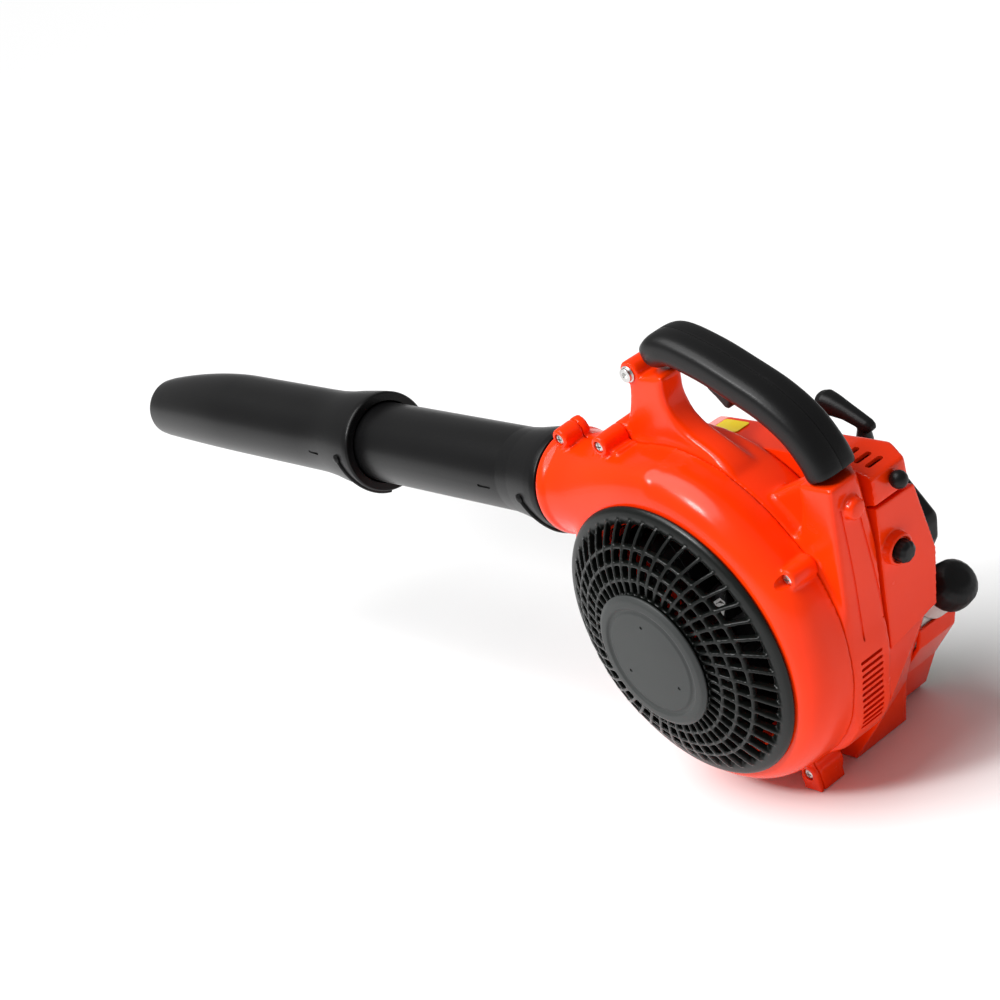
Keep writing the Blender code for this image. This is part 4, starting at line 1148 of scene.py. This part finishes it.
@dataclass
class AirTubes:
    """The straight pipe and the tapered nozzle, each with a flared collar and a bayonet track.

    A collar is a list of (x, radius) points. Past its ends the tube has its plain radius.
    """

    layout: Layout
    pipe_r: float = 0.0310
    pipe_wall: float = 0.0024
    body_r: float = 0.0330
    collar_r: float = 0.0393
    tip_r: float = 0.0250
    nozzle_wall: float = 0.0026
    socket_r: Pair = (0.0325, 0.0315)
    track_turn: float = 78.0
    bead_r: float = 0.0017
    sides: int = 160
    nozzle_start: float = 0.347
    taper_start: float = 0.560
    nozzle_end: float = 0.685

    @staticmethod
    def radius_at(collar: Sequence[Pair], x: float) -> float:
        """The collar's radius at x, or its last radius past its ends."""
        for (x0, r0), (x1, r1) in zip(collar, collar[1:]):
            if x0 <= x <= x1:
                return r0 + (r1 - r0) * (x - x0) / (x1 - x0)
        return collar[-1][1]

    def track(self, collar: Sequence[Pair], pin_x: float, end_x: float, start: float) -> list[Obj]:
        """The raised bead that curves from the bayonet pin to the collar's rim, and the pin.

        Args:
            collar: The collar that it lies on.
            pin_x: Where the pin stands along the tube.
            end_x: Where the bead ends.
            start: The pin's angle round the tube in degrees, from +Y towards +Z.

        Returns:
            The bead and the pin.
        """
        path = []
        steps = 24
        for k in range(steps + 1):
            share = k / steps
            angle = math.radians(start - self.track_turn * share ** 0.9)
            x = pin_x + (end_x - pin_x) * (1 - (1 - share) ** 2.2)
            r = self.radius_at(collar, x) + 0.0002
            path.append(self.layout.tube() + Vector((x, r * math.cos(angle), r * math.sin(angle))))
        angle = math.radians(start)
        out = Vector((0, math.cos(angle), math.sin(angle)))
        foot = self.layout.tube() + Vector((pin_x, 0, 0)) + out * self.radius_at(collar, pin_x)
        pin = turned("pin", [(0, -0.003), (0.0040, -0.003), (0.0036, 0.0014), (0.0022, 0.0024),
                             (0, 0.0027)],
                     foot, out, sides=32)
        return [swept("bead", path, self.bead_r, sides=14), pin]

    def slot(self, x: float, r: float) -> Obj:
        """A short slot mark on the tube's near side."""
        return prism("slot", stadium((x, self.layout.tube_z + 0.0005), 0.015, 0.0021),
                     self.layout.tube_y + r - 0.0010, self.layout.tube_y + r + 0.01)

    def pipe(self) -> Obj:
        """The straight pipe."""
        r = self.pipe_r
        collar = [(0.1143, 0.0372), (0.1200, 0.0374), (0.1280, 0.0364), (0.1400, 0.0345), (0.1530, 0.0325),
                  (0.1680, r)]
        profile = [(r - self.pipe_wall, 0.0722), (r, 0.0722), (r, 0.1143), *[(q, x) for x, q in collar],
                   (r, 0.392), (r - self.pipe_wall, 0.392)]
        pipe = turned("blower_pipe", rounded_profile(profile, 0.0012, steps=3), self.layout.tube(), AHEAD,
                      self.sides)
        combine(pipe, Solid.JOIN, *self.track(collar, 0.1365, 0.1172, 0.0))
        return combine(pipe, Solid.CUT, self.slot(0.184, r))

    def ring(self, x: float, r: float, drop: float) -> list[Vector]:
        """A ring of the nozzle, its centre lowered by drop."""
        angles = [2 * math.pi * k / self.sides for k in range(self.sides)]
        return [Vector((x, self.layout.tube_y + r * math.cos(t),
                        self.layout.tube_z - drop + r * math.sin(t)))
                for t in angles]

    def nozzle(self) -> Obj:
        """A flared socket, a straight run, then a taper whose underside stays straight."""
        b, c, start, wall = self.body_r, self.collar_r, self.nozzle_start, self.nozzle_wall
        straight_end = self.taper_start - 0.01
        collar = [(start, c - 0.0012), (start + 0.0008, c - 0.0003), (start + 0.0022, c),
                  (0.3550, c - 0.0003),
                  (0.3650, c - 0.0012), (0.3800, 0.0366), (0.3960, 0.0345), (0.4140, b + 0.0002),
                  (0.430, b)]
        rings = [self.ring(x, r, 0.0) for x, r in (*collar, (straight_end, b))]
        wide, snug = self.socket_r
        bore = [(start - 0.01, wide), (start + 0.0006, wide), (start + 0.003, snug), (0.393, snug),
                (0.395, b - wall), (straight_end, b - wall)]
        hollow = [self.ring(x, r, 0.0) for x, r in bore]
        steps = 14
        for k in range(1, steps + 1):
            share = k / steps
            x = straight_end + (self.nozzle_end - straight_end) * share
            r = b + (self.tip_r - b) * share ** 1.7
            last = k == steps
            rings.append(self.ring(x, r - (0.0004 if last else 0), b - r))
            hollow.append(self.ring(x + (0.01 if last else 0), r - wall, b - r))
        nozzle = combine(loft("blower_nozzle", rings), Solid.CUT, loft("bore", hollow))
        combine(nozzle, Solid.JOIN, *self.track(collar, 0.3640, 0.3500, 4.0))
        return combine(nozzle, Solid.CUT, self.slot(0.405, 0.0338))

    def build(self) -> None:
        """Makes both tubes."""
        place(self.pipe(), Body.PIPE, "black_plastic", "straight_pipe", finish=TUBE)
        place(self.nozzle(), Body.NOZZLE, "black_plastic", "nozzle_tube", finish=TUBE)


@dataclass
class EngineShells:
    """The cover over the cylinder, the lower housing, the filter cover with its knob, and the choke."""

    layout: Layout
    left_y: float = 0.0247
    right_y: float = -0.038
    wall: float = 0.0025
    choke_at: Triple = (0, 0.007, 0.227)
    gills: int = 7

    def outline(self, inset: float, low: float) -> list[Pair]:
        """The cover's side outline, shrunk by inset."""
        rear_x = self.layout.rear_x
        return [(-0.1035 + inset, low), (-0.1035 + inset, 0.2145 + inset),
                (rear_x(0.2145) + inset, 0.2145 + inset),
                (rear_x(0.236) + inset, 0.236 - inset * 0.6), (-0.113, 0.246 - inset),
                (0.014, 0.246 - inset),
                (0.042 - inset * 0.7, 0.236 - inset * 0.7), (0.0545 - inset, 0.210), (0.0562 - inset, low)]

    def shaped(self, obj: Obj, shift: float) -> Obj:
        """Cuts the sloping right shoulder and the rear right corner off."""
        roof = [(-0.0005 - shift * 0.3, 0.2495 - shift * 0.4), (-0.042, 0.2205 - shift),
                (-0.075, 0.2205 - shift),
                (-0.060, 0.270), (0.002, 0.270)]
        corner = [(-0.160, shift), (-0.072, -0.0385 + shift), (-0.072, -0.080), (-0.180, -0.080)]
        return combine(obj, Solid.CUT, prism("roof", roof, -0.2, 0.1, Plane.YZ),
                       prism("corner", corner, 0.0, 0.3, Plane.XY))

    def cover(self) -> Obj:
        """The upper shell with cooling slots on its deck and its rear edge."""
        lay = self.layout
        shell = self.shaped(prism("top_cover", self.outline(0.0, 0.085), self.right_y,
                                  self.left_y + 0.012), 0.0)
        rounded(shell, voxel=0.0014, passes=7)
        hollow = self.shaped(prism("hollow", self.outline(self.wall, 0.075), self.right_y + self.wall,
                                   0.0222),
                             self.wall)
        combine(shell, Solid.CUT, hollow, beyond(Z, 0.1012, -1), beyond(Y, self.left_y, 1))
        rounded(shell, voxel=0.0013, passes=2)
        upright = math.pi / 2
        vents = [prism("vent", stadium(centre, 0.0150, 0.0040, upright), 0.225, 0.26, Plane.XY)
                 for centre in ((-0.1175, 0.012), (-0.1262, 0.011), (-0.1345, 0.010))]
        gills = [prism("gill", stadium((-0.040 + 0.011 * i, 0.160), 0.034, 0.0042, upright), -0.0635,
                       -0.030)
                 for i in range(self.gills)]
        return combine(shell, Solid.CUT, *vents, *gills,
                       rod("neck", 0.0105, -0.108, -0.095, (0, -0.006, 0.186), AHEAD, sides=40),
                       rod("choke", 0.0030, -0.150, -0.120, self.choke_at, AHEAD, sides=32),
                       block("exhaust", (0.050, -0.026, 0.150), (0.062, 0.006, 0.198)),
                       rod("shaft", 0.031, -0.045, -0.030, lay.axis()),
                       rod("wheel", 0.048, 0.007, 0.030, lay.axis()))

    def knob_at(self) -> Vector:
        """Where the knob's axis meets the filter cover's face."""
        return Vector((self.layout.rear_x(0.178), 0.012, 0.178))

    def knob(self) -> Obj:
        """The filter cover's knob, with eight lobes."""
        profile = [(0, -0.0120), (0.0024, -0.0120), (0.0024, 0.0033), (0.0066, 0.0033), (0.0077, 0.0056),
                   (0.0074, 0.0118), (0.0048, 0.0140), (0, 0.0142)]
        return turned("wing_knob", rounded_profile(profile, 0.0009, steps=3), self.knob_at(),
                      self.layout.rear_normal(), 96, lambda t: 1 + 0.035 * math.cos(8 * t))

    def choke(self) -> Obj:
        """The choke's rod and ball."""
        ball_r, steps = 0.0062, 24
        angles = [math.pi * k / steps for k in range(steps + 1)]
        ball = [(ball_r * math.sin(t), -0.149 - ball_r * math.cos(t)) for t in angles]
        stem = turned("choke_pull", [(0, -0.1500), (0.0022, -0.1500), (0.0022, -0.1085), (0.0017, -0.1080),
                                     (0, -0.1080)], self.choke_at, AHEAD, sides=32)
        return combine(stem, Solid.JOIN, turned("ball", ball, self.choke_at, AHEAD, sides=48))

    def build(self) -> None:
        """Makes the shells, the knob, the choke and the guards."""
        place(self.cover(), Body.BODY, "red_plastic", "engine_cover")
        housing = rounded(copy_of("engine_housing", "lower_housing"), voxel=0.0010, passes=4)
        combine(housing, Solid.CUT, beyond(Z, 0.0, -1))
        place(housing, Body.BODY, "red_plastic", "engine_housing")
        lid = rounded(copy_of("filter_cover", "air_filter_cover"), voxel=0.0008, passes=5)
        collar = [(0.0089, -0.001), (0.0118, -0.001), (0.0110, 0.0062), (0.0096, 0.0070), (0.0089, 0.0062)]
        combine(lid, Solid.JOIN, turned("collar", rounded_profile(collar, 0.0006), self.knob_at(),
                                        self.layout.rear_normal(), sides=72))
        place(lid, Body.FILTER_LID, "red_plastic", "filter_cover")
        place(self.knob(), Body.KNOB, "black_plastic", "filter_knob")
        place(self.choke(), Body.CHOKE, "black_plastic", "choke_knob")
        grid = rounded(copy_of("muffler_guard", "exhaust_grid"), voxel=0.0006, passes=4)
        place(grid, Body.BODY, "black_plastic", "muffler_guard")
        silencer = rounded(copy_of("muffler", "silencer"), voxel=0.0007, passes=4)
        place(silencer, Body.BODY, "steel", "muffler")


@dataclass
class FuelTank:
    """The milky tank, its red cradle and its cap."""

    layout: Layout
    cap_base: Triple = (-0.0995, -0.0490, 0.1040)
    cap_axis: Triple = (-0.82, 0.0, 0.57)

    def cap(self) -> Obj:
        """A domed cap with shallow finger flutes round its skirt."""
        profile = [(0, 0.0125), (0.0134, 0.0125), (0.0134, 0.0015), (0.0165, 0.0015), (0.0173, 0.0040),
                   (0.0174, 0.0090), (0.0165, 0.0165), (0.0125, 0.0215), (0.0065, 0.0238), (0, 0.0242)]
        section = rounded_profile(profile, 0.0016, steps=3)
        return turned("filler_cap", section, self.cap_base, self.cap_axis, sides=120,
                      wobble=lambda t: 1 + 0.004 * math.cos(20 * t))

    def build(self) -> None:
        """Makes the tank, cradle and cap."""
        tank = rounded(copy_of("fuel_tank", "petrol_tank"), voxel=0.0009, passes=8)
        place(tank, Body.BODY, "tank_plastic", "fuel_tank")
        cradle = rounded(copy_of("tank_guard", "tank_cradle"), voxel=0.0009, passes=4)
        combine(cradle, Solid.CUT, beyond(Z, 0.0, -1))
        place(cradle, Body.BODY, "red_plastic", "tank_guard")
        place(self.cap(), Body.CAP, "black_plastic", "fuel_cap")


@dataclass
class Starter:
    """The recoil starter: a vented housing, the rope and its pull grip.

    Still and moving are distances from the eyelet along the rope.
    """

    layout: Layout
    rope_y: float = -0.058
    exit: Pair = (-0.0525, 0.206)
    direction: Pair = (-0.248, 0.969)
    rope_r: float = 0.0018
    still: float = -0.004
    moving: float = 0.0085
    vents: int = 14
    vent_r: float = 0.0290

    def along(self, distance: float) -> Vector:
        """A point on the rope's straight run, measured from the eyelet."""
        return Vector((self.exit[0] + self.direction[0] * distance, self.rope_y,
                       self.exit[1] + self.direction[1] * distance))

    def housing(self) -> Obj:
        """The CAD housing with rounded edges, radial vents and a raised ring on its face."""
        shell = rounded(copy_of("starter_housing", "starter_cover"), voxel=0.0011, passes=7)
        for i in range(self.vents):
            t = 2 * math.pi * i / self.vents
            centre = (self.vent_r * math.cos(t), self.layout.crank_z + self.vent_r * math.sin(t))
            combine(shell, Solid.CUT, prism("vent", stadium(centre, 0.0165, 0.0040, t), -0.085, -0.0740))
        ring = [(0.0400, -0.0760), (0.0400, -0.0779), (0.0432, -0.0779), (0.0432, -0.0760)]
        return combine(shell, Solid.JOIN, turned("ring", rounded_profile(ring, 0.0005), self.layout.axis()))

    def grip(self) -> Obj:
        """The pull grip: a stem on the rope and an arched bar across it."""
        stem = swept("pull_grip", [self.along(d) for d in (0.0003, 0.0030, 0.0120, 0.0180)],
                     [0.0055, 0.0064, 0.0048, 0.0052], 28)
        stations = [(-0.0085, -0.0008, 0.0026), (-0.0070, 0.0, 0.0041), (-0.004, 0.0004, 0.0049),
                    (0.004, 0.0008, 0.0053), (0.015, 0.0010, 0.0060), (0.026, 0.0000, 0.0076),
                    (0.033, -0.0016, 0.0088), (0.0375, -0.0030, 0.0074), (0.0395, -0.0040, 0.0042)]
        bar, sizes = [], []
        for u, rise, size in stations:
            bar.append(self.along(0.0165 + rise) + Vector((0.905, 0, 0.425)) * u)
            sizes.append(size)
        combine(stem, Solid.JOIN, swept("bar", bar, sizes, sides=28, power=2.4))
        combine(stem, Solid.CUT, swept("bore", [self.along(-0.01), self.along(0.0110)], 0.0030))
        return rounded(stem, voxel=0.0006, passes=6)

    def rope(self) -> Obj:
        """The rope's run from the reel to the grip, with points close together near the eyelet."""
        runs = [-0.078 + 0.006 * k for k in range(12)] + [-0.006 + 0.0015 * k for k in range(12)]
        return swept("pull_rope", [self.along(d) for d in runs], self.rope_r, sides=14)

    def build(self) -> None:
        """Makes the starter's outside and its rope."""
        place(self.housing(), Body.BODY, "black_plastic", "starter_housing")
        place(self.grip(), Body.PULL, "black_plastic", "starter_grip")
        rope = place(self.rope(), None, "black_rubber", "starter_rope", finish=ROPE)
        tuple(self.along(self.still))
        tuple(self.along(self.moving))
        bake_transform(rope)


@dataclass
class Label:
    """The blank sticker on the engine cover's deck."""

    low: Pair = (-0.0120, -0.0010)
    high: Pair = (0.0120, 0.0130)
    bottom: float = 0.2463
    top: float = 0.2469
    corner: float = 0.0022

    def build(self) -> None:
        """Makes the sticker with round corners."""
        outline = []
        for i, (x, y) in enumerate(((self.high[0], self.high[1]), (self.low[0], self.high[1]),
                                    (self.low[0], self.low[1]), (self.high[0], self.low[1]))):
            cx = x - math.copysign(self.corner, x - (self.low[0] + self.high[0]) / 2)
            cy = y - math.copysign(self.corner, y - (self.low[1] + self.high[1]) / 2)
            for k in range(7):
                t = math.pi / 2 * (i + k / 6)
                outline.append((cx + self.corner * math.cos(t), cy + self.corner * math.sin(t)))
        place(prism("sticker", outline, self.bottom, self.top, Plane.XY), Body.BODY, "yellow_label",
              "label_plate")


@dataclass
class CarriedOver:
    """The CAD nodes whose shape is right: they get smooth shading and their finishes."""

    special: dict[str, object] = field(default_factory=lambda: {"plug_lead": HOSE, "throttle_cable": HOSE})

    def build(self, standing_in: set[str]) -> None:
        """Dresses every node that no piece stands for.

        Args:
            standing_in: Names of nodes that are replaced.
        """
        for part in frame["record"]["subparts"]:
            name = part["node"]
            if name in standing_in:
                continue
            obj = frame["nodes"][name]
            obj.data.materials.clear()
            obj.data.materials.append(Paint.of(self.special.get(name) or SLOT_FINISH[part["material_slot"]]))
            obj.data.shade_smooth()
            obj.data.set_sharp_from_angle(angle=math.radians(35))
            LOG.info("%s keeps its shape", name)


# ---------------------------------------------------------------- studio


@dataclass
class Studio:
    """A pale floor, soft lights and the camera, whose axes are given as unit vectors."""

    eye: Triple = (-1.21864, 0.94806, 0.88836)
    right: Triple = (-0.60351204, -0.73439016, -0.31055485)
    up: Triple = (0.13136322, -0.47573633, 0.86972331)
    back: Triple = (-0.78645847, 0.484093, 0.38358446)
    lens: float = 88.69
    target: Triple = (0.10, 0.0, 0.16)
    key_at: Triple = (0.3, 1.5, 1.5)
    key_size: float = 0.35
    key_power: float = 20.0
    sky_from: Triple = (0.25, 0.45, 1.0)
    sky_strength: float = 3.2
    sky_spread: float = 50.0
    ambient: float = 0.30
    floor_half: float = 8.0
    floor_z: float = -0.0004

    def camera(self) -> None:
        """The camera."""
        data = bpy.data.cameras.new("camera")
        data.lens = self.lens
        data.sensor_width = 36.0
        data.clip_start = 0.01
        camera = added("camera", data)
        turn = Matrix((self.right, self.up, self.back)).transposed().to_4x4()
        camera.matrix_world = Matrix.Translation(self.eye) @ turn
        bpy.context.scene.camera = camera

    def key(self) -> None:
        """A square softbox that faces the object."""
        data = bpy.data.lights.new("key", "AREA")
        data.shape = "SQUARE"
        data.size = self.key_size
        data.energy = self.key_power
        lamp = added("key", data)
        lamp.location = self.key_at
        lamp.rotation_euler = (Vector(self.target) - Vector(self.key_at)).to_track_quat("-Z",
                                                                                        "Y").to_euler()

    def sky(self) -> None:
        """A broad even light from one direction, spread over sky_spread degrees."""
        data = bpy.data.lights.new("sky", "SUN")
        data.energy = self.sky_strength
        data.angle = math.radians(self.sky_spread)
        added("sky", data).rotation_euler = Vector(self.sky_from).to_track_quat("Z", "Y").to_euler()

    def ambience(self) -> None:
        """An even white world, shown without a film look."""
        world = bpy.data.worlds.new("studio")
        world.use_nodes = True
        background = world.node_tree.nodes["Background"]
        background.inputs["Color"].default_value = (1.0, 1.0, 1.0, 1.0)
        background.inputs["Strength"].default_value = self.ambient
        bpy.context.scene.world = world
        bpy.context.scene.view_settings.view_transform = "Standard"

    def floor(self) -> None:
        """A wide pale floor."""
        half = self.floor_half
        mesh = bpy.data.meshes.new("floor")
        mesh.from_pydata([(-half, -half, 0), (half, -half, 0), (half, half, 0), (-half, half, 0)], [],
                         [(0, 1, 2, 3)])
        mesh.materials.append(Graph("pale_floor").dress(Base_Color=(0.84, 0.84, 0.84), Roughness=0.8))
        floor = added("floor", mesh)
        floor.location.z = self.floor_z

    def build(self) -> None:
        """Sets the whole studio up."""
        self.camera()
        self.floor()
        self.key()
        self.sky()
        self.ambience()


def main() -> None:
    """Builds the studio and every sub-assembly."""
    logging.basicConfig(level=logging.INFO, format="%(message)s")
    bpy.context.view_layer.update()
    Studio().build()
    layout = Layout()
    parts = [FanCase(layout), Handle(layout), Intake(layout), AirTubes(layout), EngineShells(layout),
             FuelTank(layout), Starter(layout), Label()]
    for part in parts:
        part.build()
        LOG.info("built %s", type(part).__name__)
    replaced = {name for name, obj in frame["nodes"].items() if obj.hide_render}
    CarriedOver().build(replaced)


if __name__ == "__main__":
    main()
